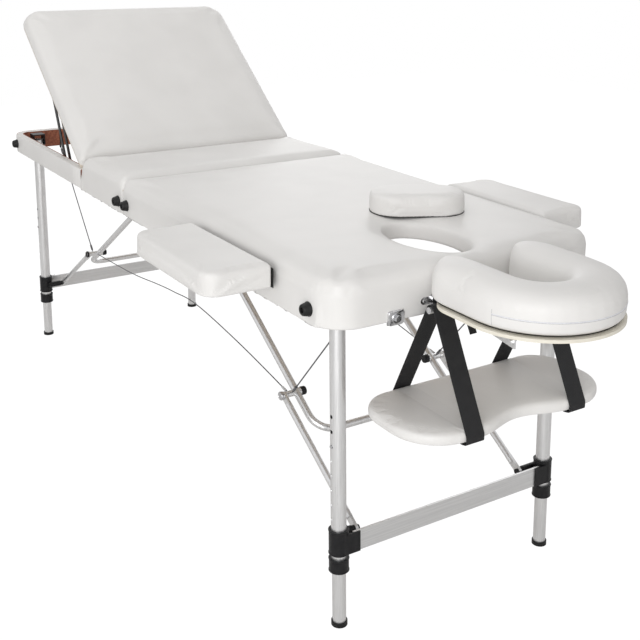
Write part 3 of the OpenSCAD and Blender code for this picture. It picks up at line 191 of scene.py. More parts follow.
# Legs, braces, links, crossbars, headrest rods and arms are anodised aluminium,
# drawn in long runs, so their fine streaks follow the length of each piece.
drawn_up = finish("drawn_upright", (0.72, 0.72, 0.72), (0.82, 0.82, 0.82), 0.30, metal=0.86,
                  scale=(500, 500, 6), spread=0.07, bump=0.05, bump_scale=(1800, 1800, 30))
drawn_across = finish("drawn_across", (0.66, 0.66, 0.66), (0.75, 0.75, 0.75), 0.36, metal=0.8,
                      scale=(500, 6, 500), spread=0.07, bump=0.05, bump_scale=(1800, 30, 1800))
drawn_along = finish("drawn_along", (0.72, 0.72, 0.72), (0.82, 0.82, 0.82), 0.30, metal=0.86,
                     scale=(6, 500, 500), spread=0.07, bump=0.05, bump_scale=(30, 1800, 1800))
for end in ("head", "foot"):
    coat(drawn_up, end + "_outer_legs", end + "_near_inner_leg", end + "_far_inner_leg",
         end + "_brace", end + "_links")
    coat(drawn_across, end + "_crossbar")
coat(drawn_along, "headrest_rods", "headrest_arms")

# Hinges, sockets, bolt plates, pins, latches and snap buttons are bright plated
# steel; brackets and the backrest's prop are steel painted black.
bright_steel = finish("bright_steel", (0.55, 0.55, 0.56), (0.68, 0.68, 0.69), 0.2, metal=1.0,
                      scale=(140, 140, 140), spread=0.08, bump=0.04)
black_paint = finish("black_paint", (0.005, 0.005, 0.006), (0.010, 0.010, 0.011), 0.36,
                     scale=(80, 80, 80), spread=0.06, bump=0.1)
coat(bright_steel, "fold_hinge_head", "fold_hinge_foot", "backrest_hinge", "head_fittings",
     "foot_fittings", "armrest_near_pins", "armrest_far_pins", "latch_lever_inner", "latch_lever_outer")
coat(black_paint, "head_brackets", "foot_brackets", "backrest_prop")

# Buffers and foot caps are black rubber; clamps, knobs, grips and the tilt lever
# are moulded black plastic with a faint grain.
black_rubber = finish("black_rubber", (0.005, 0.005, 0.005), (0.010, 0.010, 0.010), 0.50,
                      scale=(120, 120, 120), bump=0.25, bump_scale=(1500, 1500, 1500))
moulded_black = finish("moulded_black", (0.004, 0.004, 0.005), (0.009, 0.009, 0.010), 0.38,
                       scale=(90, 90, 90), bump=0.2, bump_scale=(2200, 2200, 2200))
for plastic in (black_paint, black_rubber, moulded_black):
    plastic.node_tree.nodes["Principled BSDF"].inputs["Specular IOR Level"].default_value = 0.3
for end in ("head", "foot"):
    coat(black_rubber, end + "_bumpers", end + "_near_foot_cap", end + "_far_foot_cap")
    coat(moulded_black, end + "_clamps", end + "_handle")
    for side in ("_near", "_far"):
        coat(bright_steel, end + side + "_button")
coat(moulded_black, "headrest_lever")

# The cables of both halves are thin twisted steel strand, darker than the tubes.
strand = finish("strand", (0.10, 0.10, 0.105), (0.22, 0.22, 0.23), 0.4, metal=0.9,
                scale=(900, 900, 900), bump=0.6, bump_scale=(1400, 1400, 1400))
for end in ("head", "foot"):
    coat(strand, end + "_short_cables", end + "_long_cables")

# The head half's cover is white vinyl over firm foam, pulled over the rails and
# stapled under them; the foam stops at the deck and the face hole is lined.
# Places along the table are measured from the fold between the two halves.
fold = -0.158
vinyl = finish("white_vinyl", (0.765, 0.755, 0.74), (0.80, 0.79, 0.775), 0.44,
               scale=(7, 7, 7), spread=0.04, detail=2.0)
pores = vinyl.node_tree.nodes.new("ShaderNodeTexVoronoi")
pores.inputs["Scale"].default_value = 620
hide = vinyl.node_tree.nodes.new("ShaderNodeBump")
hide.inputs["Strength"].default_value = 0.16
hide.inputs["Distance"].default_value = 0.0005
creases = vinyl.node_tree.nodes.new("ShaderNodeTexNoise")
creases.inputs["Scale"].default_value = 17
creases.inputs["Detail"].default_value = 2.5
creases.inputs["Distortion"].default_value = 0.9
rumple = vinyl.node_tree.nodes.new("ShaderNodeBump")
rumple.inputs["Strength"].default_value = 0.14
rumple.inputs["Distance"].default_value = 0.005
skin_at = vinyl.node_tree.nodes.new("ShaderNodeTexCoord")
vinyl.node_tree.links.new(skin_at.outputs["Object"], pores.inputs["Vector"])
vinyl.node_tree.links.new(pores.outputs["Distance"], hide.inputs["Height"])
vinyl.node_tree.links.new(skin_at.outputs["Object"], creases.inputs["Vector"])
vinyl.node_tree.links.new(creases.outputs["Fac"], rumple.inputs["Height"])
vinyl.node_tree.links.new(rumple.outputs[0], hide.inputs["Normal"])
vinyl.node_tree.links.new(hide.outputs[0], vinyl.node_tree.nodes["Principled BSDF"].inputs["Normal"])


def piece(name, bm, paint, smooth=True):
    mesh = bpy.data.meshes.new(name)
    bm.to_mesh(mesh)
    bm.free()
    mesh.materials.append(paint)
    for face in mesh.polygons:
        face.use_smooth = smooth
    made = bpy.data.objects.new(name, mesh)
    bpy.context.collection.objects.link(made)
    return made


def pad_block(x0, x1, half, r0, r1, z0, z1, edge, low_edge=0.0):
    bm = bmesh.new()
    corners = [bm.verts.new((x + fold, y, z0)) for x, y in
               ((x0, -half), (x1, -half), (x1, half), (x0, half))]
    bm.faces.new(corners)
    for ends, radius in (((corners[0], corners[3]), r0), ((corners[1], corners[2]), r1)):
        bmesh.ops.bevel(bm, geom=list(ends), offset=radius, offset_type="OFFSET", segments=12,
                        profile=0.5, affect="VERTICES", material=-1)
    raised = bmesh.ops.extrude_face_region(bm, geom=bm.faces[:])["geom"]
    lifted = [v for v in raised if isinstance(v, bmesh.types.BMVert)]
    bmesh.ops.translate(bm, vec=(0, 0, z1 - z0), verts=lifted)
    bmesh.ops.recalc_face_normals(bm, faces=bm.faces[:])
    for height, size in ((z1, edge), (z0, low_edge)):
        if size:
            rim = [e for e in bm.edges if all(abs(v.co.z - height) < 1e-6 for v in e.verts)]
            bmesh.ops.bevel(bm, geom=rim, offset=size, offset_type="OFFSET", segments=6,
                            profile=0.5, affect="EDGES", material=-1)
    return bm


def baked(made):
    made.data = bpy.data.meshes.new_from_object(
        made.evaluated_get(bpy.context.evaluated_depsgraph_get()))
    made.modifiers.clear()


def remeshed(made, size):
    evener = made.modifiers.new("evener", "REMESH")
    evener.mode = "VOXEL"
    evener.voxel_size = size
    baked(made)
    bm = bmesh.new()
    bm.from_mesh(made.data)
    for step in range(3):
        bmesh.ops.smooth_vert(bm, verts=bm.verts[:], factor=0.5,
                              use_axis_x=True, use_axis_y=True, use_axis_z=True)
    bm.to_mesh(made.data)
    bm.free()


def swell(made, pressure, most, held, stiff=12.0):
    before = [v.co.copy() for v in made.data.vertices]
    tacked = made.vertex_groups.new(name="tacked")
    for v in made.data.vertices:
        grip = held(v.co)
        if grip > 0:
            tacked.add([v.index], grip, "REPLACE")
    cloth = made.modifiers.new("cloth", "CLOTH")
    cloth.settings.use_pressure = True
    cloth.settings.uniform_pressure_force = pressure
    cloth.settings.effector_weights.gravity = 0
    cloth.settings.tension_stiffness = stiff
    cloth.settings.compression_stiffness = stiff
    cloth.settings.bending_stiffness = 0.6
    cloth.settings.quality = 4
    cloth.settings.vertex_group_mass = "tacked"
    cloth.collision_settings.use_self_collision = False
    cloth.collision_settings.use_collision = False
    cloth.point_cache.frame_start, cloth.point_cache.frame_end = 1, 20
    for step in range(1, 21):
        scene.frame_set(step)
    blown = made.evaluated_get(bpy.context.evaluated_depsgraph_get()).to_mesh()
    after = [v.co.copy() for v in blown.vertices]
    made.modifiers.clear()
    made.vertex_groups.clear()
    for v, a, b in zip(made.data.vertices, before, after):
        moved = b - a
        far = moved.length
        v.co = a + moved * (most * math.tanh(far / most) / far) if far > 1e-7 else a
    scene.frame_set(1)


def trimmed(made, gone, thickness):
    bm = bmesh.new()
    bm.from_mesh(made.data)
    lost = [f for f in bm.faces if gone(f.calc_center_median(), f.normal)]
    bmesh.ops.delete(bm, geom=lost, context="FACES")
    loose = [v for v in bm.verts if not v.link_faces]
    bmesh.ops.delete(bm, geom=loose, context="VERTS")
    bm.to_mesh(made.data)
    bm.free()
    hide_thick = made.modifiers.new("hide_thickness", "SOLIDIFY")
    hide_thick.thickness = thickness
    hide_thick.offset = -1
    for face in made.data.polygons:
        face.use_smooth = True


def inset_of(p, x0, x1, half, r0, r1):
    x, y = p.x - fold, abs(p.y)
    radius = r0 if x < (x0 + x1) / 2 else r1
    side = max(x0 - x, x - x1) + radius
    long = y - half + radius
    return radius - (math.hypot(max(side, 0), max(long, 0)) + min(max(side, long), 0))


fold_gap, cover_side, side_limit = 0.0002, 0.3275, 0.3285
rail_foot, cover_start, pad_crown = 0.6304, 0.6215, 0.7225
crown_edge, cover_gauge, cover_grid = 0.020, 0.0015, 0.006
foam_push, foam_rise, foam_line, held_end = 3.0, 0.0045, 0.694, 0.006
corner_line, corner_fade, corner_reach = 0.6965, 0.010, 0.017
drape_line, drape_fade, drape_inner = 0.676, 0.02, 0.3215
staple_line, facing_down, turned_under = 0.634, -0.6, 0.016
head_size = (fold_gap, 0.9405, cover_side, 0.015, 0.0685)


def squared(made, x_end, inward, reach, half):
    for v in made.data.vertices:
        share_down = min(max((corner_line - v.co.z) / corner_fade, 0), 1)
        ahead_by = reach - (v.co.x - fold - x_end) * inward
        beside = abs(v.co.y) - half + reach
        if share_down > 0 and ahead_by > 0 and beside > 0:
            out = math.hypot(ahead_by, beside) / max(ahead_by, beside)
            out = 1 + (out - 1) * share_down
            v.co.x = x_end + fold + inward * (reach - ahead_by * out)
            v.co.y = math.copysign(half - reach + beside * out, v.co.y)
    for v in made.data.vertices:
        v.co.z = max(v.co.z, rail_foot)
        if v.co.z < drape_line and drape_inner < abs(v.co.y) < cover_side:
            v.co.y += (math.copysign(cover_side, v.co.y) - v.co.y) * min(
                (drape_line - v.co.z) / drape_fade, 1)


head_cover = piece("head_cover", pad_block(*head_size, cover_start, pad_crown, crown_edge), vinyl)
hole_x, hole_half_length, hole_half_width, core_foot = 0.785, 0.112, 0.068, 0.60
lip_rings = ((0.7135, 1.0), (0.7180, 1.012), (0.7210, 1.035), (0.7226, 1.08), (0.75, 1.10))
bm = bmesh.new()
rim = bmesh.ops.create_circle(bm, segments=72, radius=1)["verts"]
bmesh.ops.scale(bm, vec=(hole_half_length, hole_half_width, 1), verts=rim)
bmesh.ops.translate(bm, vec=(hole_x + fold, 0, core_foot), verts=rim)
ring = bm.edges[:]
bm.faces.new(rim)
for height, width in lip_rings:
    grown = bmesh.ops.extrude_edge_only(bm, edges=ring)["geom"]
    ring = [e for e in grown if isinstance(e, bmesh.types.BMEdge)]
    rim = [v for v in grown if isinstance(v, bmesh.types.BMVert)]
    for v in rim:
        v.co.z = height
    widened = (hole_half_length * width) / (max(v.co.x for v in rim) - hole_x - fold)
    bmesh.ops.scale(bm, vec=(widened, widened, 1), verts=rim,
                    space=Matrix.Translation((-hole_x - fold, 0, 0)))
bm.faces.new(rim)
bmesh.ops.recalc_face_normals(bm, faces=bm.faces[:])
hole_core = piece("hole_core", bm, vinyl)
cutter = head_cover.modifiers.new("face_hole", "BOOLEAN")
cutter.operation = "DIFFERENCE"
cutter.object = hole_core
baked(head_cover)
bpy.data.objects.remove(hole_core)
remeshed(head_cover, cover_grid)


def hole_near(p):
    return math.hypot((p.x - hole_x - fold) / hole_half_length, p.y / hole_half_width)


rim_hold, rim_fade, hole_zone, lining_foot = 1.13, 0.1, 1.3, 0.685
swell(head_cover, foam_push, foam_rise, lambda p: 1.0 if p.z < foam_line or p.x < held_end + fold
      else max(0, min(1, (rim_hold - hole_near(p)) / rim_fade)))
for v in head_cover.data.vertices:
    v.co.x = max(v.co.x, fold_gap + fold)
    v.co.y = max(min(v.co.y, side_limit), -side_limit)
squared(head_cover, fold_gap, 1, corner_reach, cover_side)
trimmed(head_cover, lambda c, n: (
    (hole_near(c) > hole_zone and c.z < staple_line and n.z < facing_down
     and inset_of(c, *head_size) > turned_under)
    or (hole_near(c) < hole_zone and c.z < lining_foot)), cover_gauge)
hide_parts("head_pad")
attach(head_cover, "head_half")

# The middle cover is the short pad between the fold and the backrest. It wraps
# the rails as the head half does, and leans back at the hinge to clear the backrest.
rake, hinge_line = math.tan(math.radians(19.2)), 0.6885
middle_end, middle_span, middle_limit, middle_rise = -0.2985, 0.2983, -0.2993, 0.004
batten_x, batten_top, batten_side = -0.29, 0.684, 0.3255
middle_size = (middle_end, -fold_gap, cover_side, 0.015, 0.015)
middle_cover = piece("middle_cover", pad_block(*middle_size, cover_start, pad_crown, crown_edge), vinyl)
for v in middle_cover.data.vertices:
    along = (v.co.x - fold + fold_gap) / -middle_span
    v.co.x += max(v.co.z - hinge_line, 0) * rake * along
remeshed(middle_cover, cover_grid)
swell(middle_cover, foam_push, middle_rise,
      lambda p: 1.0 if p.z < foam_line or p.x > -held_end + fold else 0.0)
for v in middle_cover.data.vertices:
    v.co.x = min(v.co.x, -fold_gap + fold)
    v.co.x = max(v.co.x, middle_limit + fold + max(v.co.z - hinge_line, 0) * rake)
    v.co.y = max(min(v.co.y, side_limit), -side_limit)
squared(middle_cover, -fold_gap, -1, corner_reach, cover_side)
squared(middle_cover, middle_end, 1, corner_reach, cover_side)
trimmed(middle_cover, lambda c, n: (
    (c.z < staple_line and n.z < facing_down and inset_of(c, *middle_size) > turned_under)
    or (c.x - fold < batten_x and c.z < batten_top and abs(c.y) < batten_side)), cover_gauge)
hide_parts("middle_pad")
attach(middle_cover, "foot_half")

# Where the foot half stands open, a strip of the same vinyl is drawn over the
# rails, round both corners, from the inner top edge to the staples below.
turn_r, strip_side, strip_end, strip_gauge = 0.0605, 0.3277, 0.9382, 0.0008
strip_profile = (
    (0.0205, 0.6845), (0.0203, 0.6859), (0.0195, 0.6862), (0.005, 0.6863), (0.002, 0.6859),
    (0.0006, 0.6848), (0.0, 0.682), (-0.0002, 0.660), (0.0, 0.636), (0.0006, 0.6328),
    (0.002, 0.6312), (0.005, 0.6306), (0.014, 0.6306))
bm = bmesh.new()
section = [bm.verts.new((middle_end + fold, inset - strip_side, z)) for inset, z in strip_profile]
strip = [bm.edges.new((a, b)) for a, b in zip(section, section[1:])]


def drawn(bm, edges, shift, steps=1):
    for step in range(steps):
        grown = bmesh.ops.extrude_edge_only(bm, edges=edges)["geom"]
        edges = [e for e in grown if isinstance(e, bmesh.types.BMEdge)
                 and all(v in grown for v in e.verts)]
        bmesh.ops.translate(bm, vec=Vector(shift) / steps,
                            verts=[v for v in grown if isinstance(v, bmesh.types.BMVert)])
    return edges


def turned(bm, edges, centre, angle, steps):
    spun = bmesh.ops.spin(bm, geom=edges, cent=centre, axis=(0, 0, 1), angle=angle, steps=steps)
    return [e for e in spun["geom_last"] if isinstance(e, bmesh.types.BMEdge)]


strip = drawn(bm, strip, (-strip_end + turn_r - middle_end, 0, 0), 8)
strip = turned(bm, strip, (-strip_end + turn_r + fold, turn_r - strip_side, 0), -math.pi / 2, 12)
strip = drawn(bm, strip, (0, 2 * (strip_side - turn_r), 0), 8)
strip = turned(bm, strip, (-strip_end + turn_r + fold, strip_side - turn_r, 0), -math.pi / 2, 12)
drawn(bm, strip, (strip_end - turn_r + middle_end, 0, 0), 8)
bmesh.ops.remove_doubles(bm, verts=bm.verts[:], dist=1e-6)
bmesh.ops.recalc_face_normals(bm, faces=bm.faces[:])
if sum(f.normal.y * f.calc_center_median().y for f in bm.faces) < 0:
    bmesh.ops.reverse_faces(bm, faces=bm.faces[:])
foot_strip = piece("foot_strip", bm, vinyl)
gauge = foot_strip.modifiers.new("vinyl_gauge", "SOLIDIFY")
gauge.thickness = strip_gauge
gauge.offset = -1
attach(foot_strip, "foot_half")

# The backrest is its own padded board: vinyl over foam on thin ply, tucked round
# the board's edge, and raked at the hinge so that both pads meet when it is up.
back_top, back_span, back_limit, hinge_x, raised = -0.9045, 0.6027, -0.3007, -0.300, math.radians(38)
back_foot, back_under, back_turned, leaf_x = 0.6846, 0.688, 0.018, -0.333
back_size = (back_top, -0.3018, cover_side, 0.0605, 0.015)
back_cover = piece("back_cover", pad_block(*back_size, back_foot, pad_crown, crown_edge, 0.003), vinyl)
for v in back_cover.data.vertices:
    share_on = (v.co.x - fold - back_top) / back_span
    v.co.x -= max(v.co.z - hinge_line, 0) * rake * share_on
remeshed(back_cover, cover_grid)
swell(back_cover, foam_push, foam_rise, lambda p: 1.0 if p.z < foam_line else 0.0)
for v in back_cover.data.vertices:
    v.co.x = min(v.co.x, back_limit + fold - max(v.co.z - hinge_line, 0) * rake)
    v.co.y = max(min(v.co.y, side_limit), -side_limit)
trimmed(back_cover, lambda c, n: c.z < back_under and n.z < facing_down and (
    inset_of(c, *back_size) > back_turned or c.x - fold > leaf_x), cover_gauge)
hinge_at = Matrix.Translation((hinge_x + fold, 0, hinge_line))
back_cover.data.transform(hinge_at @ Matrix.Rotation(raised, 4, "Y") @ hinge_at.inverted())
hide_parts("backrest_pad")
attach(back_cover, "backrest")

# The headrest cushion is a horseshoe of soft foam in a sewn vinyl cover: a bent
# top panel, a side band with a zip round the front, and a seam on each arm.
arm_x, arm_run, bend_x, arm_lane, arm_half = 1.007, 0.098, 1.105, 0.0955, 0.0520
band_height, crown_rise, foot_drop = 0.7045, 0.0405, 0.0315
cushion_foot, cushion_end, cushion_rise, cushion_held = 0.6732, 0.9550, 0.0042, 0.680
end_rings = ((0.016, 0.95), (0.016, 0.82), (0.011, 0.64), (0.007, 0.42))
end_lane, end_height = 0.082, 0.700
bm = bmesh.new()
loop = bmesh.ops.create_circle(bm, segments=32, radius=1)["verts"]
for v in loop:
    c, s = v.co.x, v.co.y
    across = math.copysign(abs(c) ** (0.66 if s > 0 else 0.28), c)
    tall = math.copysign(abs(s) ** (0.85 if s > 0 else 0.28), s)
    v.co = (arm_x + fold, -arm_lane + arm_half * across,
            band_height + (crown_rise if tall > 0 else foot_drop) * tall)
ring = bm.edges[:]
arm_end = list(ring)
ring = drawn(bm, ring, (arm_run, 0, 0), 5)
turned(bm, ring, (bend_x + fold, 0, 0), math.pi / 2, 9)
width = 1.0
for ahead_by, wide in end_rings:
    grown = bmesh.ops.extrude_edge_only(bm, edges=arm_end)["geom"]
    arm_end = [e for e in grown if isinstance(e, bmesh.types.BMEdge)]
    rim = [v for v in grown if isinstance(v, bmesh.types.BMVert)]
    bmesh.ops.translate(bm, vec=(-ahead_by, 0, 0), verts=rim)
    bmesh.ops.scale(bm, vec=(1, wide / width, (0.9 + 0.1 * wide) / (0.9 + 0.1 * width)), verts=rim,
                    space=Matrix.Translation((0, end_lane, -end_height)))
    width = wide
bmesh.ops.contextual_create(bm, geom=arm_end)
bmesh.ops.mirror(bm, geom=bm.verts[:] + bm.edges[:] + bm.faces[:], matrix=Matrix(),
                 merge_dist=1e-4, axis="Y")
bmesh.ops.recalc_face_normals(bm, faces=bm.faces[:])
head_cushion = piece("headrest_cover", bm, vinyl)
remeshed(head_cushion, 0.0045)
swell(head_cushion, 4.0, cushion_rise, lambda p: 1.0 if p.z < cushion_held else 0.0, stiff=8.0)
for v in head_cushion.data.vertices:
    v.co.z = max(v.co.z, cushion_foot)
    v.co.x = max(v.co.x, cushion_end + fold)
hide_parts("headrest_cushion")
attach(head_cushion, "headrest")


def laid_on(cover, rays, sink):
    bm = bmesh.new()
    bm.from_mesh(cover.data)
    skin = BVHTree.FromBMesh(bm)
    bm.free()
    found = []
    for start, aim in rays:
        hit = skin.ray_cast(Vector(start), Vector(aim).normalized())
        if hit[0]:
            found.append(hit[0] - hit[1] * sink)
    return found


def thread(name, points, radius, paint, body, closed=False):
    line = bpy.data.curves.new(name, "CURVE")
    line.dimensions = "3D"
    line.bevel_depth = radius
    line.bevel_resolution = 3
    line.use_fill_caps = True
    run = line.splines.new("POLY")
    run.points.add(len(points) - 1)
    for knot, p in zip(run.points, points):
        knot.co = (*p, 1)
    run.use_cyclic_u = closed
    line.materials.append(paint)
    made = bpy.data.objects.new(name, line)
    bpy.context.collection.objects.link(made)
    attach(made, body)
    return made


ray_reach, zip_height, zip_share, tape_height = 0.3, 0.6995, 0.84, 0.6755
band_end, band_foot, band_step = 75.6, 0.676, 0.002


def round_front(z, reach=1.0):
    rays = []
    for k in range(73):
        a = math.radians(-90 + 180 * k / 72) * reach
        out = Vector((math.cos(a), math.sin(a), 0))
        centre = Vector((bend_x + fold, 0, z))
        rays.append((centre + out * ray_reach, -out))
    return rays


piping = finish("seam_piping", (0.70, 0.71, 0.75), (0.78, 0.785, 0.81), 0.4, scale=(300, 300, 300))
# The grey seam colour is used for the sewn seams on the band, and also as a thin dark line just under
# the zip piping, which is a painted shadow.
seam_shade = finish("seam_thread_and_shadow", (0.42, 0.42, 0.44), (0.52, 0.52, 0.53), 0.6, scale=(300, 300, 300))
thread("zip_piping", laid_on(head_cushion, round_front(zip_height, zip_share), 0.0003), 0.0012,
       piping, "headrest")
thread("zip_shadow", laid_on(head_cushion, round_front(0.6978, zip_share), 0.0002), 0.00045,
       seam_shade, "headrest")
for label, a in (("near", -band_end), ("far", band_end)):
    out = Vector((math.cos(math.radians(a)), math.sin(math.radians(a)), 0))
    rays = [(Vector((bend_x + fold, 0, band_foot + band_step * k)) + out * ray_reach, -out)
            for k in range(17)]
    thread(label + "_band_seam", laid_on(head_cushion, rays, 0.0), 0.0004, seam_shade,
           "headrest")
# This black tape colour is also used on the armrest backings and the plug's base, where its dark line is
# painted shade in the gaps beside and under them.
hook_tape = finish("hook_tape", (0.006, 0.006, 0.006), (0.014, 0.014, 0.014), 0.85,
                   scale=(900, 900, 900), bump=0.5, bump_scale=(2500, 2500, 2500))
tape_stops = (0.985, 1.01, 1.035, 1.06, 1.085)
edge_run = [((x + fold, -ray_reach, tape_height), (0, 1, 0)) for x in tape_stops]
edge_run += round_front(tape_height)
edge_run += [((x + fold, ray_reach, tape_height), (0, -1, 0)) for x in tape_stops[::-1]]
tape_path = [Vector((p.x, p.y, 0.6736)) for p in laid_on(head_cushion, edge_run, 0.001)]
thread("hook_tape_edge", tape_path, 0.0007, hook_tape, "headrest")

# The two side armrests and the plug of the face hole are small firm cushions:
# foam on a board, boxed in vinyl, with gathers where the cover turns a corner.
rest_x, rest_reach, rest_width, rest_half = 0.595, 0.4765, 0.1370, 0.1705
rest_foot, rest_top, rest_clamp, rest_face = 0.6672, 0.7145, 0.6662, 0.3384
firm_push, firm_stiffness, rest_rise, rest_held, rest_wall = 4.0, 9.0, 0.0022, 0.672, 0.343
# The black backing sizes below also set the painted shade in the gap beside each armrest.
gap_shade_size, gap_shade_side, gap_shade_height = (0.3395, 0.0018, 0.0380), 0.3377, 0.6857
for side, sy in (("near", -1), ("far", 1)):
    turned_in = Matrix.Translation((rest_x + fold, sy * rest_reach, 0)) @ Matrix.Rotation(
        -sy * math.pi / 2, 4, "Z")
    bm = pad_block(-fold, rest_width - fold, rest_half, 0.034, 0.007, rest_foot, rest_top, 0.0085, 0.003)
    bmesh.ops.transform(bm, matrix=turned_in, verts=bm.verts[:])
    rest_pad = piece("armrest_" + side + "_cover", bm, vinyl)
    remeshed(rest_pad, 0.0036)
    swell(rest_pad, firm_push, rest_rise,
          lambda p: 1.0 if p.z < rest_held or abs(p.y) < rest_wall else 0.0, stiff=firm_stiffness)
    for v in rest_pad.data.vertices:
        v.co.z = max(v.co.z, rest_clamp)
        v.co.y = sy * max(abs(v.co.y), rest_face)
    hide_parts("armrest_" + side + "_pad")
    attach(rest_pad, "armrest_" + side)
    # A thin black hook-tape backing lies on each armrest's inner face, set low so that only its end
    # shows as a dark line. It is black backing, and also painted shade in the gap between armrest and
    # table.
    bm = bmesh.new()
    bmesh.ops.create_cube(bm, size=1)
    bmesh.ops.scale(bm, vec=gap_shade_size, verts=bm.verts[:])
    bmesh.ops.translate(bm, vec=(rest_x + fold, sy * gap_shade_side, gap_shade_height), verts=bm.verts[:])
    bmesh.ops.bevel(bm, geom=bm.edges[:], offset=0.0007, segments=2, profile=0.5,
                    affect="EDGES", material=-1)
    gap_shade_panel = piece("armrest_" + side + "_backing_gap_shade", bm, hook_tape)
    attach(gap_shade_panel, "armrest_" + side)

plug_half_length, plug_half_width, plug_round = 0.1020, 0.0620, 0.0585
plug_top, plug_rise, plug_held = 0.0445, 0.0026, 0.7315
plug_x, plug_y, plug_seat, plug_turn, plug_clamp = 0.628, 0.096, 0.7268, math.radians(62), 0.7280
bm = pad_block(-plug_half_length, plug_half_length, plug_half_width, plug_round, plug_round,
               -0.0020, plug_top, 0.010)
bmesh.ops.translate(bm, vec=(-fold, 0, 0), verts=bm.verts[:])
plug_at = Matrix.Translation((plug_x + fold, plug_y, plug_seat)) @ Matrix.Rotation(plug_turn, 4, "Z")
bmesh.ops.transform(bm, matrix=plug_at, verts=bm.verts[:])
plug = piece("plug_cover", bm, vinyl)
remeshed(plug, 0.0040)
swell(plug, firm_push, plug_rise, lambda p: 1.0 if p.z < plug_held else 0.0, stiff=firm_stiffness)
for v in plug.data.vertices:
    v.co.z = max(v.co.z, plug_clamp)
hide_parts("plug_cushion")
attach(plug, "plug")
# A thin black base under the plug shows as a dark line along its bottom edge. It is black base fabric,
# and also painted shadow of the gap beneath the plug.
bm = pad_block(-0.1023, 0.1023, 0.0623, 0.059, 0.059, 0.0002, 0.0014, 0.0003)
bmesh.ops.translate(bm, vec=(-fold, 0, 0), verts=bm.verts[:])
bmesh.ops.transform(bm, matrix=plug_at, verts=bm.verts[:])
plug_base_and_gap_shade = piece("plug_base_and_gap_shade", bm, hook_tape, smooth=False)
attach(plug_base_and_gap_shade, "plug")

# The arm shelf is a thin padded board in the sling, straight behind, with round
# ends and a shallow hollow in front for the forearms.
shelf_back, shelf_front, shelf_half = 0.8825, 1.0955, 0.2355
shelf_foot, shelf_top, shelf_clamp, shelf_rise = 0.4442, 0.4680, 0.4432, 0.0025
shelf_mid, shelf_reach, hollow_half, hollow_depth = 0.989, 0.1065, 0.108, 0.024
shelf_held, pressed_inner, pressed_outer = 0.4525, 0.102, 0.146
bm = pad_block(shelf_back, shelf_front, shelf_half, 0.070, 0.094, shelf_foot, shelf_top, 0.0105, 0.005)
shelf = piece("arm_shelf_cover", bm, vinyl)
remeshed(shelf, 0.0045)
for v in shelf.data.vertices:
    reach = (v.co.x - fold - shelf_mid) / shelf_reach
    if reach > 0 and abs(v.co.y) < hollow_half:
        v.co.x -= hollow_depth * reach * math.cos(math.pi / 2 * v.co.y / hollow_half) ** 2
swell(shelf, foam_push, shelf_rise,
      lambda p: 1.0 if p.z < shelf_held or pressed_inner < abs(p.y) < pressed_outer else 0.0,
      stiff=firm_stiffness)
for v in shelf.data.vertices:
    v.co.z = max(v.co.z, shelf_clamp)
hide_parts("arm_shelf")
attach(shelf, "sling")

# Each sling strap is one closed loop of black webbing, woven with a raised
# edge, that hangs on the tilt bar and passes under the shelf.
weave = finish("webbing", (0.004, 0.004, 0.005), (0.010, 0.010, 0.011), 0.72, scale=(60, 60, 60))
wnodes, wlinks = weave.node_tree.nodes, weave.node_tree.links
strap_uv = wnodes.new("ShaderNodeUVMap")
strap_uv.uv_map = "strap"
rows = wnodes.new("ShaderNodeTexBrick")
rows.inputs["Scale"].default_value = 1.0
rows.inputs["Brick Width"].default_value = 0.0030
rows.inputs["Row Height"].default_value = 0.0012
rows.inputs["Mortar Size"].default_value = 0.00022
rows.inputs["Mortar Smooth"].default_value = 1.0
raised_yarn = wnodes.new("ShaderNodeBump")
raised_yarn.inputs["Strength"].default_value = 0.8
raised_yarn.inputs["Distance"].default_value = 0.0004
raised_yarn.invert = True
wlinks.new(strap_uv.outputs[0], rows.inputs["Vector"])
wlinks.new(rows.outputs["Fac"], raised_yarn.inputs["Height"])
wlinks.new(raised_yarn.outputs[0], wnodes["Principled BSDF"].inputs["Normal"])
strap_lane, strap_half, strap_gauge = 0.124, 0.020, 0.0018
weft_widths = (0.0012, 0.0026, 0.0324, 0.0026, 0.0012)
strap_bends = ((0.985, 0.656, 0.0084), (0.8837, 0.4457, 0.0032), (1.0943, 0.4457, 0.0032),
               (0.893, 0.453, 0.0124), (1.085, 0.453, 0.0124))
rounds = []
for cx, cz, r in strap_bends:
    for k in range(40):
        a = 2 * math.pi * k / 40
        rounds.append((cx + r * math.cos(a), cz + r * math.sin(a)))
rounds.sort()


def half_hull(points):
    kept = []
    for p in points:
        while len(kept) > 1 and ((kept[-1][0] - kept[-2][0]) * (p[1] - kept[-2][1])
                                 <= (kept[-1][1] - kept[-2][1]) * (p[0] - kept[-2][0])):
            kept.pop()
        kept.append(p)
    return kept[:-1]


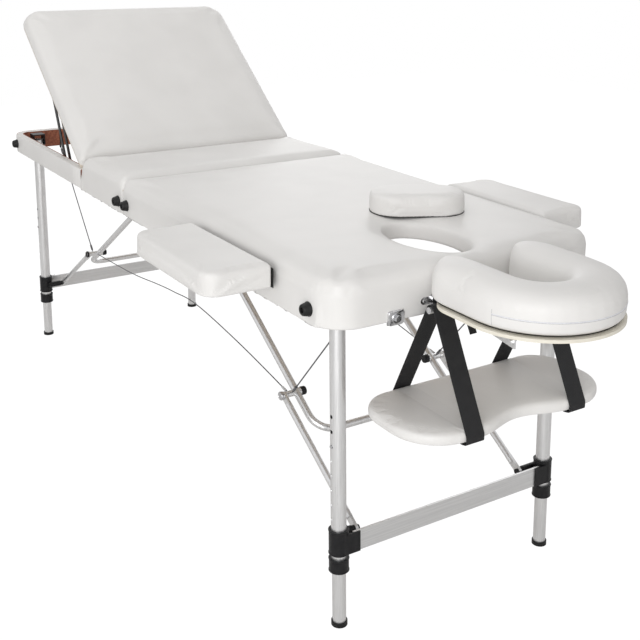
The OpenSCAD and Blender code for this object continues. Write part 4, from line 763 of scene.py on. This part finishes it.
outline = half_hull(rounds) + half_hull(rounds[::-1])
for side, sy in (("near", -1), ("far", 1)):
    bm = bmesh.new()
    knots = [bm.verts.new((x + fold, sy * strap_lane - strap_half, z)) for x, z in outline]
    band = [bm.edges.new((a, b)) for a, b in zip(knots, knots[1:] + knots[:1])]
    long_runs = [e for e in band if e.calc_length() > 0.02]
    bmesh.ops.subdivide_edges(bm, edges=long_runs, cuts=11)
    band = bm.edges[:]
    for width in weft_widths:
        grown = bmesh.ops.extrude_edge_only(bm, edges=band)["geom"]
        band = [e for e in grown if isinstance(e, bmesh.types.BMEdge)]
        bmesh.ops.translate(bm, vec=(0, width, 0),
                            verts=[v for v in grown if isinstance(v, bmesh.types.BMVert)])
    bmesh.ops.recalc_face_normals(bm, faces=bm.faces[:])
    if sum(f.normal.z * (f.calc_center_median().z - 0.5) for f in bm.faces) < 0:
        bmesh.ops.reverse_faces(bm, faces=bm.faces[:])
    marks = bm.loops.layers.uv.new("strap")
    for f in bm.faces:
        flat = abs(f.normal.z) > 0.7
        for corner in f.loops:
            p = corner.vert.co
            corner[marks].uv = (p.y, p.x if flat else p.z * 1.11)
    strap = piece("sling_strap_" + side, bm, weave)
    webbing = strap.modifiers.new("webbing_thickness", "SOLIDIFY")
    webbing.thickness = strap_gauge
    webbing.offset = 1
    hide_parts("sling_straps")
    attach(strap, "sling")

# The rubber buffers on the near rail are moulded cones with a thick rim at the
# wall and a sunk screw in the tip; the folded table stands on them.
def lathed(bm, profile, place, closed=False, steps=32):
    old = set(bm.verts)
    line = [bm.verts.new((r, 0, h)) for r, h in profile]
    ends = line + line[:1] if closed else line
    edges = [bm.edges.new(pair) for pair in zip(ends, ends[1:])]
    bmesh.ops.spin(bm, geom=line + edges, cent=(0, 0, 0), axis=(0, 0, 1), angle=2 * math.pi,
                   steps=steps, use_merge=True)
    bmesh.ops.remove_doubles(bm, verts=[v for v in bm.verts if v not in old], dist=1e-6)
    fresh = [v for v in bm.verts if v not in old]
    bmesh.ops.recalc_face_normals(bm, faces=list({f for v in fresh for f in v.link_faces}))
    bmesh.ops.transform(bm, matrix=place, verts=fresh)


def facing(x, y, z, towards):
    return Matrix.Translation((x + fold, y, z)) @ Vector((0, 0, 1)).rotation_difference(
        Vector(towards)).to_matrix().to_4x4()


def creased(made, degrees=38):
    made.data.set_sharp_from_angle(angle=math.radians(degrees))


buffer_wall, buffer_height = 0.3262, 0.658
buffer_profile = ((0, 0), (0.0131, 0), (0.0138, 0.0012), (0.0138, 0.0030), (0.0130, 0.0042),
                  (0.0112, 0.0120), (0.0105, 0.0144), (0.0092, 0.0156), (0.0066, 0.0158),
                  (0.0056, 0.0150), (0.0054, 0.0105), (0, 0.0105))
screw_profile = ((0, 0.0104), (0.0042, 0.0104), (0.0041, 0.0118), (0.0030, 0.0129),
                 (0.0014, 0.0131), (0.0012, 0.0122), (0, 0.0122))
for end, spots in (("head", (0.027, 0.872)), ("foot", (-0.027, -0.880))):
    bm, screws = bmesh.new(), bmesh.new()
    for x in spots:
        wall = facing(x, -buffer_wall, buffer_height, (0, -1, 0))
        lathed(bm, buffer_profile, wall, steps=36)
        lathed(screws, screw_profile, wall)
    buffers = piece(end + "_rubber_buffers", bm, black_rubber)
    creased(buffers)
    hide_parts(end + "_bumpers")
    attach(buffers, end + "_half")
    heads = piece(end + "_buffer_screws", screws, black_paint)
    creased(heads)
    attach(heads, end + "_half")

# The joints of links and braces are closed with round caps outside, plated at the
# head end and black at the foot end, and with black knobs inside.
joint_x, joint_z, cap_face, knob_face = 0.590, 0.352, 0.2166, 0.1734
cap_profile = ((0, 0), (0.0094, 0), (0.0096, 0.0008), (0.0096, 0.0052), (0.0086, 0.0066),
               (0.0060, 0.0073), (0.0056, 0.0068), (0, 0.0069))
knob_profile = ((0, 0), (0.0090, 0), (0.0096, 0.0012), (0.0096, 0.0100), (0.0088, 0.0122),
                (0.0064, 0.0132), (0.0058, 0.0126), (0, 0.0127))
for end, sx in (("head", 1), ("foot", -1)):
    caps, knobs = bmesh.new(), bmesh.new()
    for sy in (-1, 1):
        lathed(caps, cap_profile, facing(sx * joint_x, sy * cap_face, joint_z, (0, sy, 0)))
        lathed(knobs, knob_profile, facing(sx * joint_x, sy * knob_face, joint_z, (0, -sy, 0)))
    plated = end == "head"
    for label, bm, body, shiny in (("_link_caps", caps, "_link_pair", plated),
                                   ("_brace_knobs", knobs, "_brace_u", False)):
        made = piece(end + label, bm, bright_steel if shiny else moulded_black)
        creased(made)
        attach(made, end + body)

# Each clamp and the collar below it has a raised lip at both mouths, and both
# are moulded round the outer tube of a leg, which leans out a little.
leg_pivot_x, leg_pivot_z, leg_side, leg_splay = 0.869, 0.655, 0.265, math.radians(2)
lip_heights = (0.1552, 0.2030, 0.1182, 0.1430)
lip_profile = ((0.0150, 0), (0.0196, 0), (0.0204, 0.0008), (0.0204, 0.0022), (0.0196, 0.0030),
               (0.0150, 0.0030))
for end, sx in (("head", 1), ("foot", -1)):
    bm = bmesh.new()
    for sy in (-1, 1):
        for height in lip_heights:
            lean = Matrix.Rotation(-sx * leg_splay, 4, "Y")
            leg_x = sx * (leg_pivot_x + (leg_pivot_z - height) * math.tan(leg_splay)) + fold
            at = Matrix.Translation((leg_x, sy * leg_side, height))
            lathed(bm, lip_profile, at @ lean, closed=True, steps=40)
    lips = piece(end + "_clamp_lips", bm, moulded_black)
    creased(lips)
    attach(lips, end + "_legs")

# A pressed steel plate with a hex bolt and washer ties each corner of the head
# end, and a rubber ring stops each headrest rod at its socket.
plate_size, plate_x, plate_y, plate_z, bolt_x = (0.0066, 0.0350, 0.0275), 0.9412, 0.187, 0.637, 0.9443
ring_x, rod_lane, rod_height = 0.9475, 0.098, 0.656
washer_profile = ((0, 0), (0.0102, 0), (0.0102, 0.0012), (0.0094, 0.0018), (0, 0.0018))
hex_profile = ((0, 0.0018), (0.0072, 0.0018), (0.0072, 0.0060), (0.0064, 0.0070), (0, 0.0071))
ring_profile = ((0.0061, 0), (0.0096, 0), (0.0104, 0.0008), (0.0104, 0.0050), (0.0094, 0.0060),
                (0.0061, 0.0060))
bolts, stops = bmesh.new(), bmesh.new()
for sy in (-1, 1):
    old = set(bolts.verts)
    bmesh.ops.create_cube(bolts, size=1)
    fresh = [v for v in bolts.verts if v not in old]
    bmesh.ops.scale(bolts, vec=plate_size, verts=fresh)
    posts = [e for e in bolts.edges if e.verts[0] in fresh
             and abs(e.verts[0].co.x - e.verts[1].co.x) > 0.005]
    bmesh.ops.bevel(bolts, geom=posts, offset=0.0065, segments=5, profile=0.5,
                    affect="EDGES", material=-1)
    fresh = [v for v in bolts.verts if v not in old]
    rim = [e for e in bolts.edges if all(v in fresh and v.co.x > 0.003 for v in e.verts)]
    bmesh.ops.bevel(bolts, geom=rim, offset=0.0010, segments=3, profile=0.5,
                    affect="EDGES", material=-1)
    fresh = [v for v in bolts.verts if v not in old]
    bmesh.ops.translate(bolts, vec=(plate_x + fold, sy * plate_y, plate_z), verts=fresh)
    out = facing(bolt_x, sy * plate_y, plate_z, (1, 0, 0))
    lathed(bolts, washer_profile, out)
    lathed(bolts, hex_profile, out, steps=6)
    lathed(stops, ring_profile, facing(ring_x, sy * rod_lane, rod_height, (1, 0, 0)), closed=True)
corner_bolts = piece("corner_bolts", bolts, bright_steel)
creased(corner_bolts, 25)
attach(corner_bolts, "head_half")
rod_stops = piece("rod_stops", stops, black_rubber)
creased(rod_stops)
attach(rod_stops, "headrest_frame")

# The long cables run in one easy sweep from the brace joints to a low meeting
# place under the fold, and a pressed sleeve closes the loop at each joint.
def swept(knots, share=10):
    path = []
    for k in range(1, len(knots) - 2):
        a, b, c, d = knots[k - 1:k + 3]
        for step in range(share + (k == len(knots) - 3)):
            t = step / share
            path.append(0.5 * (2 * b + (c - a) * t + (2 * a - 5 * b + 4 * c - d) * t * t
                               + (3 * b - a - 3 * c + d) * t ** 3))
    return path


cable_radius, crimp_radius, crimp_stops = 0.0013, 0.0028, (0.004, 0.005, 0.019, 0.020)
for end, run in (
        ("head", ((0.700, 0.201, 0.330), (0.5828, 0.201, 0.3541), (0.365, 0.201, 0.3895),
                  (0.140, 0.2005, 0.4135), (0.0002, 0.1975, 0.4040), (-0.150, 0.194, 0.385))),
        ("foot", ((-0.700, 0.194, 0.345), (-0.5828, 0.194, 0.3530), (-0.300, 0.194, 0.3700),
                  (-0.110, 0.1955, 0.3925), (-0.0002, 0.1975, 0.4040), (0.150, 0.201, 0.4130)))):
    for side, sy in (("near", -1), ("far", 1)):
        path = swept([Vector((x + fold, sy * y, z)) for x, y, z in run])
        wire = thread(end + "_long_cable_" + side, path, cable_radius, strand,
                      end + "_long_cable_pair")
        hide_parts(end + "_long_cables")
        crimp = [path[0] + (path[1] - path[0]).normalized() * d for d in crimp_stops]
        thread(end + "_crimp_" + side, crimp, crimp_radius, bright_steel,
               end + "_long_cable_pair")
